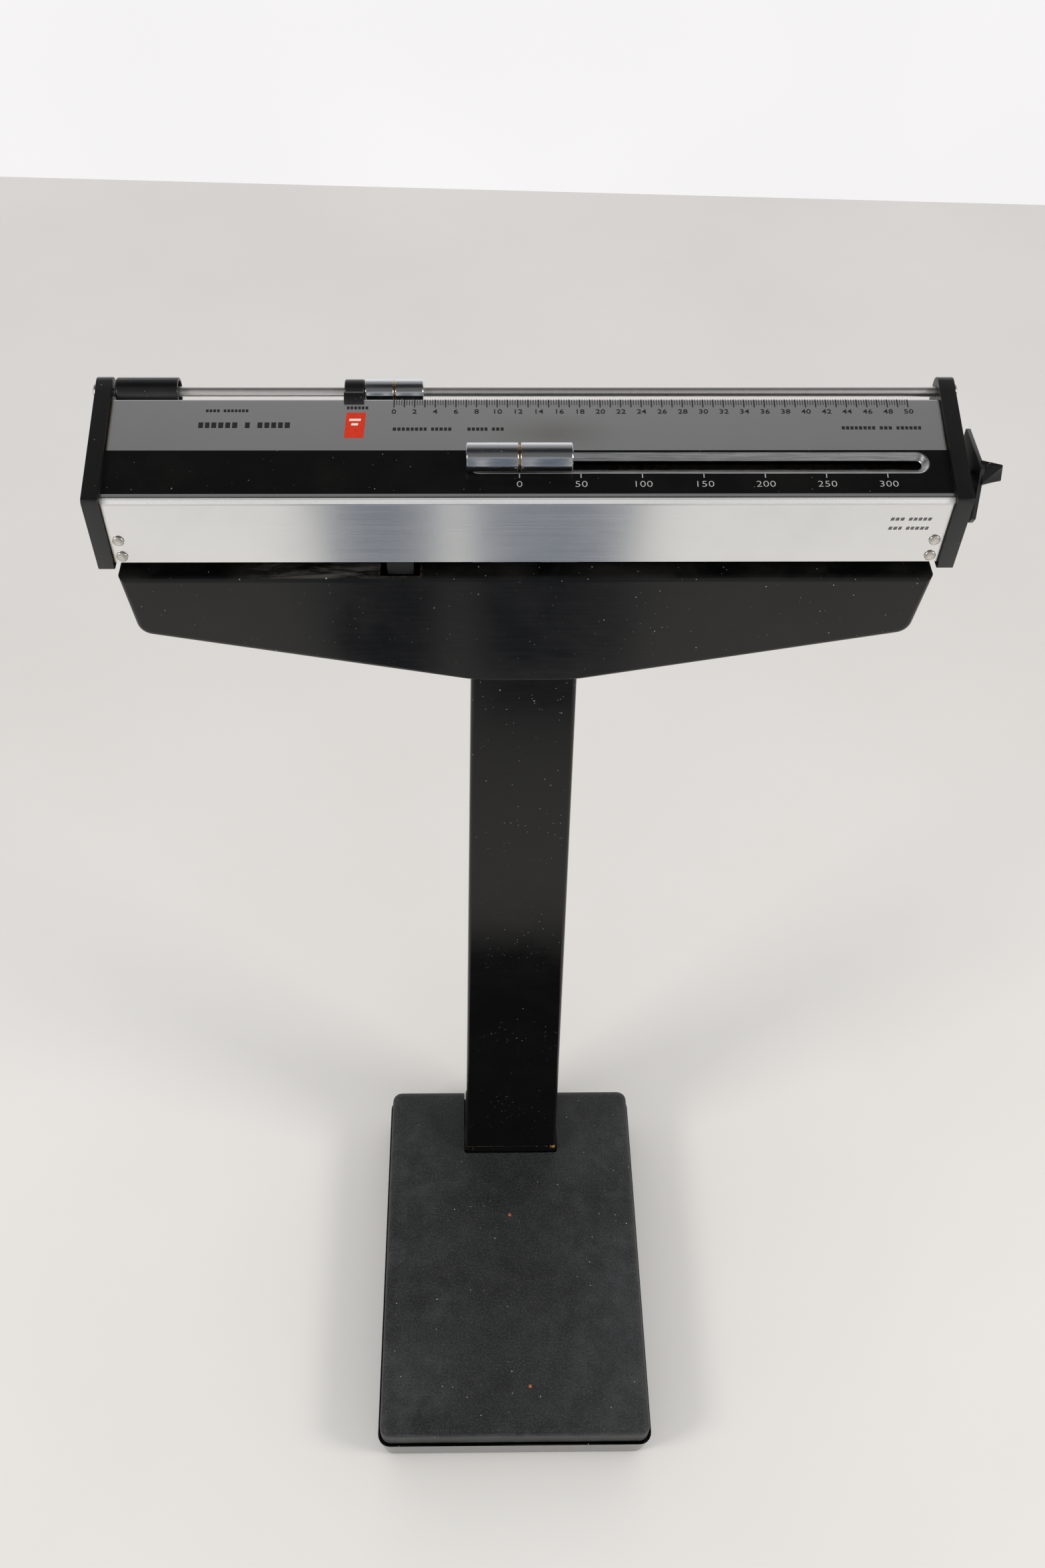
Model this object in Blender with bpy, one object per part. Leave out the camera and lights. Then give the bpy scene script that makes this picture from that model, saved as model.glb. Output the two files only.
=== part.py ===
"""Physician beam scale: a platform scale with a column, a hood and a tilting weigh beam.

Metres, +Z up, the user stands on the platform facing +Y.  Inside this script every part is
placed from the column's centre plane (x = 0) and the head's front plane (y = 0), and one
empty then moves the whole scale so that its bounding box is centred over the world origin.
"""
import math

import bmesh
import bpy
from mathutils import Matrix, Vector

# ---------------------------------------------------------------- driving dimensions
GAP = 0.0003                  # air left between touching pieces
SHEET = 0.0012                # steel sheet of the base, column and hood

PLATFORM_W, PLATFORM_D = 0.2545, 0.3570
PLATFORM_BACK = 0.0635        # y of the platform's rear edge
PLATFORM_TOP = 0.0660
PLATFORM_SKIRT = 0.0430       # z of the platform's lower edge
PLATFORM_ROUND = 0.0060
PLATFORM_CORNER = 0.0095
TREAD_T = 0.0020
NOTCH_CORNER = 0.0035

BASE_RIM = 0.0028             # how far the base's rim stands out past the platform
BASE_TOP = 0.0415
BASE_FLOOR = 0.0020           # underside of the base, on 2 mm of foot
BASE_DRAFT = 0.0035
BASE_CORNER = 0.0115
FOOT_R = 0.0110

COLUMN_LOW, COLUMN_HIGH = 0.0070, 0.8400
COLUMN_HALF = (0.0482, 0.0350)        # half width at the low and high ends
COLUMN_FRONT = (-0.0082, 0.0016)
COLUMN_BACK = (0.0590, 0.0568)
COLUMN_CORNER = 0.0028

HOOD_FRONT, HOOD_BACK = -0.0053, 0.0730
HOOD_TOP = 0.8660             # the beam dips 6.7 mm at its ends and stays clear
HOOD_HALF = 0.2552
HOOD_SHOULDER = (0.2502, 0.8182)      # x and z of its lower outer corners
HOOD_KEEL = (0.0304, 0.7732)          # and of its flat bottom's ends
HOOD_ROUND = 0.0035
HOOD_BEND = 0.0105
HOOD_LIP = 0.0095             # back edge of the flange along the hood's top
NOTCH_X = (-0.0919, -0.0671)  # notch in the flange, which the beam's stop tab hangs into
NOTCH_DEPTH = 0.0123

RIDGE_Y, RIDGE_Z = -0.0005, 0.9222    # where the face panel bends
PANEL_BOTTOM = 0.8750
PANEL_DEPTH = 0.0771                  # along the sloping upper face
PANEL_SLOPE = math.radians(15.4)
PANEL_T = 0.0010
PANEL_HALF = 0.2557
REAR_FLANGE = 0.0090
CAP_IN, CAP_OUT = 0.2560, 0.2660
CAP_PROUD = 0.0025

ROD_R = 0.003175
ROD_Y, ROD_Z = 0.0839, 0.9403
SMALL_ZERO, SMALL_TRAVEL = -0.0820, 0.3175     # 1/4 in a pound, 0 to 50
LARGE_ZERO, LARGE_TRAVEL = -0.0055, 0.22225    # 8 3/4 in, 0 to 300
LARGE_STEPS = 6
SLOT_AT = 0.0278              # the slot's middle, up the sloping face from the ridge
SLOT_LEFT, SLOT_RIGHT = -0.0372, 0.2435
DISH_HALF, SLOT_HALF = 0.0081, 0.0037          # the slot's cradle, and its opening
CRADLE = ((0.0070, -0.0002), (0.0060, -0.0010), (0.0050, -0.0018), (SLOT_HALF, -0.0026))
CRADLE_BACK = ((SLOT_HALF, -0.0036), (0.0051, -0.0033), (0.0066, -0.0019))
LARGE_R, LARGE_LEN, LARGE_LIFT = 0.0087, 0.0642, 0.0057
LARGE_FLAT = 0.0004           # its underside is flat, this high over the face
SMALL_R, SMALL_LEN = 0.0075, 0.0360
SLEEVE_R, SLEEVE_X = 0.0086, (-0.2540, -0.2155)
COLLAR_R, COLLAR_X = 0.0074, (-0.1128, -0.1006)
NOTCHED_BAR_X = (-0.0500, 0.2480)
NOTCHED_BAR_H = (-0.0150, -0.0090)             # heights over the sloping face

FULCRUM_Z = 0.8780            # the beam's knife edge, on x = 0
DRAW_X, DRAW_Y = -0.0240, 0.0290
BEAM_BAR_LOW, BEAM_BAR_HIGH = 0.8890, 0.9050

LEVER_LOW, LEVER_HIGH = 0.0125, 0.0205         # long lever
SHORT_LOW, SHORT_HIGH = 0.0255, 0.0325         # short lever, which passes over it
FRONT_FULCRUM_Y, FRONT_LOAD_Y = -0.2700, -0.2250
REAR_FULCRUM_Y, REAR_LOAD_Y = 0.0450, 0.0000
FRONT_PIVOT_X, REAR_PIVOT_X = 0.0950, 0.0880
LEVERS_MEET_Y = (FRONT_FULCRUM_Y + REAR_FULCRUM_Y) / 2

LOCK_Y, LOCK_Z = 0.0360, 0.9130
LOCK_PLATE_IN, LOCK_PLATE_OUT = 0.2720, 0.2745
LOCK_TIP = 0.2852
LOCK_CAM = 0.0165             # reach of the cam's arm, short of the rear beam bar

BUTTON_H = 0.0033
BOX_X = (-CAP_OUT - BUTTON_H, LOCK_TIP)
BOX_Y = (PLATFORM_BACK - PLATFORM_D - BASE_RIM, ROD_Y + SLEEVE_R)

# ---------------------------------------------------------------- materials
FINISHES = {
    "black_paint": ((0.012, 0.012, 0.013), 0.28, 0.0),
    "tread_rubber": ((0.045, 0.048, 0.050), 0.75, 0.0),
    "black_plastic": ((0.022, 0.022, 0.024), 0.38, 0.0),
    "aluminium": ((0.55, 0.55, 0.56), 0.33, 1.0),
    "chrome": ((0.75, 0.76, 0.78), 0.08, 1.0),
    "steel": ((0.42, 0.41, 0.40), 0.40, 1.0),
    "cast_iron": ((0.10, 0.10, 0.10), 0.60, 0.8),
    "foot_rubber": ((0.02, 0.02, 0.02), 0.85, 0.0),
}


def material(name):
    """The named finish, made once."""
    found = bpy.data.materials.get(name)
    if found:
        return found
    color, roughness, metallic = FINISHES[name]
    made = bpy.data.materials.new(name)
    made.use_nodes = True
    shader = made.node_tree.nodes["Principled BSDF"]
    shader.inputs["Base Color"].default_value = (*color, 1.0)
    shader.inputs["Roughness"].default_value = roughness
    shader.inputs["Metallic"].default_value = metallic
    return made


# ---------------------------------------------------------------- shape helpers
def clear_scene():
    for item in list(bpy.data.objects):
        bpy.data.objects.remove(item, do_unlink=True)


def empty(name, location=(0, 0, 0), tilt=0.0, parent=None):
    """A named empty; tilt turns it about X."""
    item = bpy.data.objects.new(name, None)
    bpy.context.scene.collection.objects.link(item)
    item.location = location
    item.rotation_euler = (tilt, 0, 0)
    item.parent = parent
    return item


def add(name, bm, finish, parent, smooth=None):
    """Turn a bmesh into a named object under parent; smooth is the sharp-edge angle."""
    bmesh.ops.recalc_face_normals(bm, faces=bm.faces[:])
    if bm.calc_volume(signed=True) < 0:
        bmesh.ops.reverse_faces(bm, faces=bm.faces[:])
    mesh = bpy.data.meshes.new(name)
    bm.to_mesh(mesh)
    bm.free()
    item = bpy.data.objects.new(name, mesh)
    bpy.context.scene.collection.objects.link(item)
    mesh.materials.append(material(finish))
    item.parent = parent
    if smooth:
        mesh.shade_smooth()
        mesh.set_sharp_from_angle(angle=math.radians(smooth))
    return item


def loft(loops, close_ends=True):
    """Skin a list of equal-length point loops into one body."""
    bm = bmesh.new()
    rings = [[bm.verts.new(p) for p in loop] for loop in loops]
    count = len(rings[0])
    for low, high in zip(rings, rings[1:]):
        for i in range(count):
            j = (i + 1) % count
            bm.faces.new((low[i], low[j], high[j], high[i]))
    if close_ends:
        bm.faces.new(list(reversed(rings[0])))
        bm.faces.new(rings[-1])
    return bm


def ring_loft(loops):
    """Skin loops into a closed ring: the last loop joins the first."""
    bm = loft(loops, close_ends=False)
    bm.verts.ensure_lookup_table()
    count, total = len(loops[0]), len(loops) * len(loops[0])
    first, last = bm.verts[0:count], bm.verts[total - count:total]
    for i in range(count):
        j = (i + 1) % count
        bm.faces.new((last[i], last[j], first[j], first[i]))
    return bm


def rounded(points, radii, steps=5):
    """A 2-D outline with each corner turned into an arc of its own radius."""
    if not isinstance(radii, (list, tuple)):
        radii = [radii] * len(points)
    outline = []
    for i, radius in enumerate(radii):
        here = Vector(points[i])
        back = (Vector(points[i - 1]) - here).normalized()
        ahead = (Vector(points[(i + 1) % len(points)]) - here).normalized()
        if radius <= 0:
            outline.append(here)
            continue
        half = back.angle(ahead) / 2
        centre = here + (back + ahead).normalized() * radius / math.sin(half)
        start = here + back * radius / math.tan(half) - centre
        sweep = start.angle_signed(here + ahead * radius / math.tan(half) - centre)
        for k in range(steps + 1):
            outline.append(centre + Matrix.Rotation(-sweep * k / steps, 2) @ start)
    return outline


def rounded_box(x, y, radius, z, steps=5):
    """A horizontal loop: a rectangle with rounded corners at height z."""
    corners = [(x[0], y[0]), (x[1], y[0]), (x[1], y[1]), (x[0], y[1])]
    return [(p.x, p.y, z) for p in rounded(corners, radius, steps)]


def prism(outline, axis, low, high):
    """Extrude a 2-D outline along axis: x takes (y, z), y takes (x, z), z takes (x, y)."""
    def place(p, depth):
        spots = {"x": (depth, p[0], p[1]), "y": (p[0], depth, p[1]), "z": (p[0], p[1], depth)}
        return spots[axis]
    return loft([[place(p, low) for p in outline], [place(p, high) for p in outline]])


def block(x, y, z, bevel=0.0):
    """A box between two limits on each axis, with bevelled edges if asked."""
    bm = prism([(x[0], y[0]), (x[1], y[0]), (x[1], y[1]), (x[0], y[1])], "z", z[0], z[1])
    if bevel:
        bmesh.ops.bevel(bm, geom=bm.edges[:], offset=bevel, segments=1, affect="EDGES")
    return bm


def turned(profile, centre, axis="x", steps=32):
    """Turn (along, radius) points about an axis through centre; a closed profile is a ring."""
    loops = []
    for along, radius in profile:
        loop = []
        for k in range(steps):
            angle = 2 * math.pi * k / steps
            u, v = radius * math.cos(angle), radius * math.sin(angle)
            offset = {"x": (along, u, v), "y": (u, along, v), "z": (u, v, along)}[axis]
            loop.append(Vector(centre) + Vector(offset))
        loops.append(loop)
    return loops


def cutter(name, bm, parent):
    """A hidden body that other parts' Boolean modifiers use."""
    item = add(name, bm, "steel", parent)
    item.hide_render = True
    item.display_type = "WIRE"
    return item


def boolean(item, other, operation="DIFFERENCE"):
    step = item.modifiers.new(other.name, "BOOLEAN")
    step.operation = operation
    step.object = other
    return item


def mirrored_pair(make, names):
    """Call make(name, side) for the left (-1) and the right (+1) of a pair."""
    for name, side in zip(names, (-1, 1)):
        make(name, side)


# ---------------------------------------------------------------- base and platform
def base_limits(inset):
    """The base's outline, inset from its rim: x and y limits."""
    half = PLATFORM_W / 2 + BASE_RIM - inset
    front = PLATFORM_BACK - PLATFORM_D - BASE_RIM + inset
    return (-half, half), (front, PLATFORM_BACK + BASE_RIM - inset)


def build_base(root):
    """An open steel tray with tapering sides, standing on four rubber feet."""
    steps = ((BASE_DRAFT + 0.006, BASE_FLOOR, BASE_CORNER - 0.004),
             (BASE_DRAFT, BASE_FLOOR + 0.004, BASE_CORNER - 0.0015),
             (0.0, BASE_TOP, BASE_CORNER), (SHEET, BASE_TOP, BASE_CORNER - 0.001),
             (BASE_DRAFT + SHEET, BASE_FLOOR + 0.0045, BASE_CORNER - 0.002),
             (BASE_DRAFT + 0.006, BASE_FLOOR + SHEET, BASE_CORNER - 0.005))
    loops = [rounded_box(*base_limits(inset), radius, z) for inset, z, radius in steps]
    add("base_pan", loft(loops), "black_paint", root, smooth=40)
    (x_low, x_high), (y_low, y_high) = base_limits(0.030)
    spots = {"foot_front_left": (x_low, y_low), "foot_front_right": (x_high, y_low),
             "foot_rear_left": (x_low, y_high), "foot_rear_right": (x_high, y_high)}
    for name, (x, y) in spots.items():
        profile = ((0, FOOT_R - 0.0006), (0.0006, FOOT_R), (BASE_FLOOR - GAP, FOOT_R))
        add(name, loft(turned(profile, (x, y, 0), "z", 24)), "foot_rubber", root, smooth=40)


def platform_loops(inset, top, low):
    """Loops of one inverted pan, from its lower edge up over the rounded top edge."""
    half, front = PLATFORM_W / 2 - inset, PLATFORM_BACK - PLATFORM_D + inset
    back, bend = PLATFORM_BACK - inset, PLATFORM_ROUND - inset
    loops = [rounded_box((-half, half), (front, back), PLATFORM_CORNER - inset, low)]
    for k in range(5):
        angle = math.radians(22.5 * k)
        shift, rise = bend * (1 - math.cos(angle)), bend * math.sin(angle)
        loops.append(rounded_box((-half + shift, half - shift), (front + shift, back - shift),
                                 PLATFORM_CORNER - inset - shift * 0.8, top - bend + rise))
    return loops


def inverted_pan(outer_inset, thickness, top, low):
    """A pan turned upside down: its outer skin down to the edge and back up inside."""
    outside = platform_loops(outer_inset, top, low)
    inside = platform_loops(outer_inset + thickness, top - thickness, low)
    return loft(list(reversed(outside)) + inside)


def build_platform(root, ride):
    """The ribbed-steel platform pan, its moulded tread, and its four bearing legs."""
    tread = add("platform_tread", inverted_pan(0.0, TREAD_T, PLATFORM_TOP, PLATFORM_SKIRT),
                "tread_rubber", ride, smooth=40)
    inner = TREAD_T + GAP
    pan = add("platform_pan", inverted_pan(inner, SHEET, PLATFORM_TOP - inner,
                                           PLATFORM_SKIRT + 0.001),
              "black_paint", ride, smooth=40)
    half, front = COLUMN_HALF[0] + 0.0012, COLUMN_FRONT[0] - 0.0014
    hole = rounded([(-half, front), (half, front), (half, 0.10), (-half, 0.10)],
                   [NOTCH_CORNER, NOTCH_CORNER, 0, 0])
    notch = cutter("column_notch", prism(hole, "z", 0.030, 0.080), root)
    boolean(tread, notch)
    boolean(pan, notch)
    under = PLATFORM_TOP - inner - SHEET - GAP
    legs = (("platform_leg_front_left", -FRONT_PIVOT_X, FRONT_LOAD_Y, LEVER_HIGH + 0.0046),
            ("platform_leg_front_right", FRONT_PIVOT_X, FRONT_LOAD_Y, LEVER_HIGH + 0.0046),
            ("platform_leg_rear_left", -REAR_PIVOT_X, REAR_LOAD_Y, SHORT_HIGH + 0.0046),
            ("platform_leg_rear_right", REAR_PIVOT_X, REAR_LOAD_Y, SHORT_HIGH + 0.0046))
    for name, x, y, low in legs:
        vee = [(y - 0.009, under), (y - 0.009, under - 0.003), (y - 0.005, under - 0.003),
               (y - 0.005, low - 0.003), (y, low), (y + 0.005, low - 0.003),
               (y + 0.005, under - 0.003), (y + 0.009, under - 0.003), (y + 0.009, under)]
        add(name, prism(vee, "x", x - 0.008, x + 0.008), "steel", ride)


# ---------------------------------------------------------------- levers in the base
def knife(axis, at, middle, length, root_z, edge_z, half=0.0030):
    """A triangular knife edge along axis; edge_z is the sharp side, root_z the flat one."""
    outline = [(at - half, root_z), (at, edge_z), (at + half, root_z)]
    return prism(outline, axis, middle - length / 2, middle + length / 2)


def build_long_lever(ride):
    """The A-shaped lever from the front pivots to the nose under the draw rod."""
    arm = [(-0.108, -0.277), (0.108, -0.277), (0.108, -0.215), (0.016, -0.120),
           (0.006, -0.085), (DRAW_X + 0.004, -0.030), (DRAW_X + 0.004, 0.036),
           (DRAW_X - 0.004, 0.036), (DRAW_X - 0.004, -0.032), (-0.010, -0.085),
           (-0.016, -0.120), (-0.108, -0.215)]
    window = [(-0.080, -0.258), (0.080, -0.258), (0.080, -0.222), (0.0, -0.140),
              (-0.080, -0.222)]
    lever = add("long_lever", prism(arm, "z", LEVER_LOW, LEVER_HIGH), "cast_iron", ride)
    hole = cutter("long_lever_window", prism(window, "z", LEVER_LOW - 0.01, LEVER_HIGH + 0.01), ride)
    boolean(lever, hole)
    low, high = LEVER_LOW - GAP, LEVER_HIGH + GAP
    add("front_fulcrum_knife", knife("x", FRONT_FULCRUM_Y, 0, 0.210, low, low - 0.004), "steel", ride)
    add("front_load_knife", knife("x", FRONT_LOAD_Y, 0, 0.210, high, high + 0.004), "steel", ride)


def build_short_lever(ride):
    """The forked lever that straddles the column and meets the long one half way."""
    reach, inner = REAR_PIVOT_X + 0.009, REAR_PIVOT_X - 0.010
    nose = LEVERS_MEET_Y - 0.010
    right = [(reach, 0.052), (reach, -0.030), (0.012, nose + 0.012)]
    left = [(-x, y) for x, y in reversed(right)]
    crotch = [(inner, 0.052), (inner, -0.024), (0.0, -0.090), (-inner, -0.024), (-inner, 0.052)]
    fork = right[:] + [(0.006, nose), (-0.006, nose)] + left + list(reversed(crotch))
    add("short_lever", prism(fork, "z", SHORT_LOW, SHORT_HIGH), "cast_iron", ride)
    low, high = SHORT_LOW - GAP, SHORT_HIGH + GAP
    for side, x in (("left", -REAR_PIVOT_X), ("right", REAR_PIVOT_X)):
        fulcrum = knife("x", REAR_FULCRUM_Y, x, 0.018, low, low - 0.004)
        load = knife("x", REAR_LOAD_Y, x, 0.018, high, high + 0.004)
        add("rear_fulcrum_knife_" + side, fulcrum, "steel", ride)
        add("rear_load_knife_" + side, load, "steel", ride)


def build_lever_link(ride):
    """The stirrup that hangs from the short lever's nose and lifts the long lever's web."""
    low, high = LEVER_LOW - 0.0060, SHORT_HIGH + 0.0060
    outer = rounded([(-0.021, low), (0.021, low), (0.021, high), (-0.021, high)], 0.004)
    inner = rounded([(-0.018, low + 0.003), (0.018, low + 0.003), (0.018, high - 0.003),
                     (-0.018, high - 0.003)], 0.002)
    y = (LEVERS_MEET_Y - 0.002, LEVERS_MEET_Y + 0.002)
    loops = [[(p.x, y[0], p.y) for p in outer], [(p.x, y[1], p.y) for p in outer],
             [(p.x, y[1], p.y) for p in inner], [(p.x, y[0], p.y) for p in inner]]
    add("lever_link", ring_loft(loops), "steel", ride, smooth=40)


def build_lever_bearings(root):
    """Notched posts on the base's floor that carry the levers' fulcrum knives."""
    floor = BASE_FLOOR + SHEET + GAP
    posts = (("bearing_post_front_left", -FRONT_PIVOT_X, FRONT_FULCRUM_Y, LEVER_LOW - 0.0046),
             ("bearing_post_front_right", FRONT_PIVOT_X, FRONT_FULCRUM_Y, LEVER_LOW - 0.0046),
             ("bearing_post_rear_left", -REAR_PIVOT_X, REAR_FULCRUM_Y, SHORT_LOW - 0.0046),
             ("bearing_post_rear_right", REAR_PIVOT_X, REAR_FULCRUM_Y, SHORT_LOW - 0.0046))
    for name, x, y, seat in posts:
        vee = [(y - 0.008, floor), (y + 0.008, floor), (y + 0.005, seat + 0.0025), (y, seat),
               (y - 0.005, seat + 0.0025)]
        add(name, prism(vee, "x", x - 0.006, x + 0.006), "steel", root)


# ---------------------------------------------------------------- column and draw rod
def column_loop(z, inset):
    """The column's rounded cross-section at height z."""
    t = (z - COLUMN_LOW) / (COLUMN_HIGH - COLUMN_LOW)
    half = COLUMN_HALF[0] + (COLUMN_HALF[1] - COLUMN_HALF[0]) * t - inset
    front = COLUMN_FRONT[0] + (COLUMN_FRONT[1] - COLUMN_FRONT[0]) * t + inset
    back = COLUMN_BACK[0] + (COLUMN_BACK[1] - COLUMN_BACK[0]) * t - inset
    return rounded_box((-half, half), (front, back), COLUMN_CORNER - inset, z)


def build_column(root):
    """The tapering tube with a doorway for the lever's nose, on its foot plate."""
    ends = ((COLUMN_LOW, 0.0), (COLUMN_HIGH, 0.0), (COLUMN_HIGH, SHEET), (COLUMN_LOW, SHEET))
    tube = add("column", ring_loft([column_loop(z, inset) for z, inset in ends]),
               "black_paint", root, smooth=40)
    door = cutter("column_door", block((DRAW_X - 0.010, DRAW_X + 0.010), (-0.03, 0.01),
                                       (0.001, LEVER_HIGH + 0.006)), root)
    boolean(tube, door)
    floor = BASE_FLOOR + SHEET + GAP
    plate = block((-0.052, 0.052), (-0.012, 0.0555), (floor, COLUMN_LOW - GAP), 0.0008)
    foot = add("column_foot", plate, "steel", root)
    well = cutter("draw_rod_well", block((DRAW_X - 0.012, DRAW_X + 0.012),
                                         (DRAW_Y - 0.005, DRAW_Y + 0.005),
                                         (0.0, COLUMN_LOW + 0.01)), root)
    boolean(foot, well)


def torus(centre, radius, wire, steps=24, sides=8):
    """A wire ring in the XZ plane."""
    loops = []
    for k in range(steps):
        angle = 2 * math.pi * k / steps
        out = Vector((math.cos(angle), 0, math.sin(angle)))
        loop = []
        for s in range(sides):
            turn = 2 * math.pi * s / sides
            spot = out * (radius + wire * math.cos(turn)) + Vector((0, wire * math.sin(turn), 0))
            loop.append(Vector(centre) + spot)
        loops.append(loop)
    return ring_loft(loops)


def build_draw_rod(ride):
    """The steel rod inside the column, with a closed eye at each end."""
    wire, radius, stem_r = 0.0016, 0.0080, 0.0020
    top = BEAM_BAR_LOW - (radius - wire)          # hangs GAP above the draw knife's edge
    low = (LEVER_LOW + LEVER_HIGH) / 2
    stem = ((low + radius, stem_r), (top - radius, stem_r))
    rod = add("draw_rod", loft(turned(stem, (DRAW_X, DRAW_Y, 0), "z", 12)), "steel", ride, smooth=40)
    for name, z in (("top_eye", top), ("low_eye", low)):
        eye = cutter(name, torus((DRAW_X, DRAW_Y, z), radius, wire), ride)
        boolean(rod, eye, "UNION")


# ---------------------------------------------------------------- hood and fulcrum
def hood_outline(inset):
    """The hood's boat shape seen from the front, as (x, z) points."""
    top = HOOD_TOP - inset
    wide, low = HOOD_SHOULDER[0] - inset, HOOD_SHOULDER[1] + inset
    keel, bottom = HOOD_KEEL[0], HOOD_KEEL[1] + inset
    points = [(-HOOD_HALF + inset, top), (-wide, low), (-keel, bottom), (keel, bottom), (wide, low),
              (HOOD_HALF - inset, top)]
    bend = HOOD_BEND - inset
    return rounded(points, [0, bend, 0.110, 0.110, bend, 0], steps=6)


def build_hood(root):
    """A drawn trough, open at the top and closed behind by a flat cover plate."""
    loops = []
    for k in range(5):
        angle = math.radians(22.5 * k)
        shift = HOOD_ROUND * (1 - math.sin(angle))
        depth = HOOD_FRONT + HOOD_ROUND * (1 - math.cos(angle))
        loops.append([(p.x, depth, p.y) for p in hood_outline(shift)])
    for inset, depth in ((0.0, HOOD_BACK), (SHEET, HOOD_BACK), (SHEET, HOOD_FRONT + HOOD_ROUND),
                         (HOOD_ROUND * 0.5, HOOD_FRONT + SHEET + 0.001),
                         (HOOD_ROUND, HOOD_FRONT + SHEET)):
        loops.append([(p.x, depth, p.y) for p in hood_outline(inset)])
    shell = add("hood_shell", loft(loops), "black_paint", root, smooth=40)
    mouth_x = HOOD_HALF - SHEET
    over = HOOD_TOP + 0.02
    mouth = cutter("hood_mouth", block((-mouth_x, mouth_x), (HOOD_LIP, 0.10), (HOOD_TOP - 0.006, over)),
                   root)
    boolean(shell, mouth)
    notch = cutter("hood_notch", block(NOTCH_X, (HOOD_LIP - NOTCH_DEPTH, HOOD_LIP + 0.001),
                                       (HOOD_TOP - 0.006, over)), root)
    boolean(shell, notch)
    column_gap = [tuple(p) for p in column_loop(0.760, -0.0006)]
    opening = cutter("hood_throat", loft([column_gap, [(x, y, 0.86) for x, y, _ in column_gap]]), root)
    boolean(shell, opening)
    plate = [(p.x, p.y) for p in hood_outline(SHEET + GAP)]
    plate[0], plate[-1] = (plate[0][0], HOOD_TOP - 0.0005), (plate[-1][0], HOOD_TOP - 0.0005)
    add("hood_back_cover", prism(plate, "y", HOOD_BACK - 0.0030, HOOD_BACK - 0.0018),
        "black_paint", root)


def build_fulcrum(root):
    """The forked stand on the column's top end and its two vee bearings."""
    floor = COLUMN_HIGH + GAP
    plate = block((-0.034, 0.034), (0.0045, 0.0545), (floor, floor + 0.003))
    stand = add("fulcrum_stand", plate, "steel", root)
    hole = cutter("draw_rod_hole", block((DRAW_X - 0.007, DRAW_X + 0.007), (DRAW_Y - 0.006, DRAW_Y + 0.006),
                                         (floor - 0.01, floor + 0.01)), root)
    boolean(stand, hole)
    for name, y in (("front", 0.0145), ("rear", 0.0445)):
        fork = [(-0.012, floor + 0.001), (0.012, floor + 0.001), (0.007, FULCRUM_Z - 0.0080),
                (-0.007, FULCRUM_Z - 0.0080)]
        post = cutter("stand_post_" + name, prism(fork, "y", y - 0.004, y + 0.004), root)
        boolean(stand, post, "UNION")
        low = FULCRUM_Z - 0.0080 + GAP
        vee = [(-0.007, low), (0.007, low), (0.007, FULCRUM_Z + 0.003), (0.0045, FULCRUM_Z + 0.003),
               (0, FULCRUM_Z - GAP), (-0.0045, FULCRUM_Z + 0.003), (-0.007, FULCRUM_Z + 0.003)]
        add("fulcrum_bearing_" + name, prism(vee, "y", y - 0.004, y + 0.004), "steel", root)


# ---------------------------------------------------------------- beam
def build_face_panel(ride, face):
    """The bent aluminium sheet: front face, ridge, sloping face and rear flange."""
    top_y = RIDGE_Y + PANEL_DEPTH * math.cos(PANEL_SLOPE)
    top_z = RIDGE_Z + PANEL_DEPTH * math.sin(PANEL_SLOPE)

    def skin(depth, ridge_bend, top_bend):
        """The sheet's section as (y, z), set in from its outer face by depth."""
        at_ridge = depth * (1 / math.cos(PANEL_SLOPE) - math.tan(PANEL_SLOPE))
        at_top = depth * (1 / math.cos(PANEL_SLOPE) + math.tan(PANEL_SLOPE))
        corners = [(RIDGE_Y + depth, PANEL_BOTTOM), (RIDGE_Y + depth, RIDGE_Z - at_ridge),
                   (top_y - depth, top_z - at_top), (top_y - depth, top_z - REAR_FLANGE)]
        return rounded(corners, [0, ridge_bend, top_bend, 0], steps=5)
    outline = skin(0.0, 0.0045, 0.0016) + list(reversed(skin(PANEL_T, 0.0035, 0.0006)))
    panel = add("face_panel", prism(outline, "x", -PANEL_HALF, PANEL_HALF), "aluminium", ride, smooth=40)
    slot = cutter("slot_cut", slot_body(DISH_HALF, -0.004, 0.004), face)
    boolean(panel, slot)
    return panel


def stadium(half, steps=10):
    """The slot's round-ended outline, as (x, up the face) points."""
    left, right = SLOT_LEFT + DISH_HALF, SLOT_RIGHT - DISH_HALF
    outline = []
    for centre, start in ((right, -90), (left, 90)):
        for k in range(steps + 1):
            angle = math.radians(start + 180 * k / steps)
            outline.append((centre + half * math.cos(angle), SLOT_AT + half * math.sin(angle)))
    return outline


def slot_body(half, low, high):
    return loft([[(x, s, h) for x, s in stadium(half)] for h in (low, high)])


def build_slot_dish(face):
    """The slot's pressed surround: a cradle that the large poise sits down into."""
    edge = DISH_HALF - GAP
    rise = ((edge, -PANEL_T - 0.0002), (edge, 0.0001)) + CRADLE + CRADLE_BACK
    loops = [[(x, s, h) for x, s in stadium(half)] for half, h in rise]
    add("slot_surround", ring_loft(loops), "aluminium", face, smooth=50)


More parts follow.
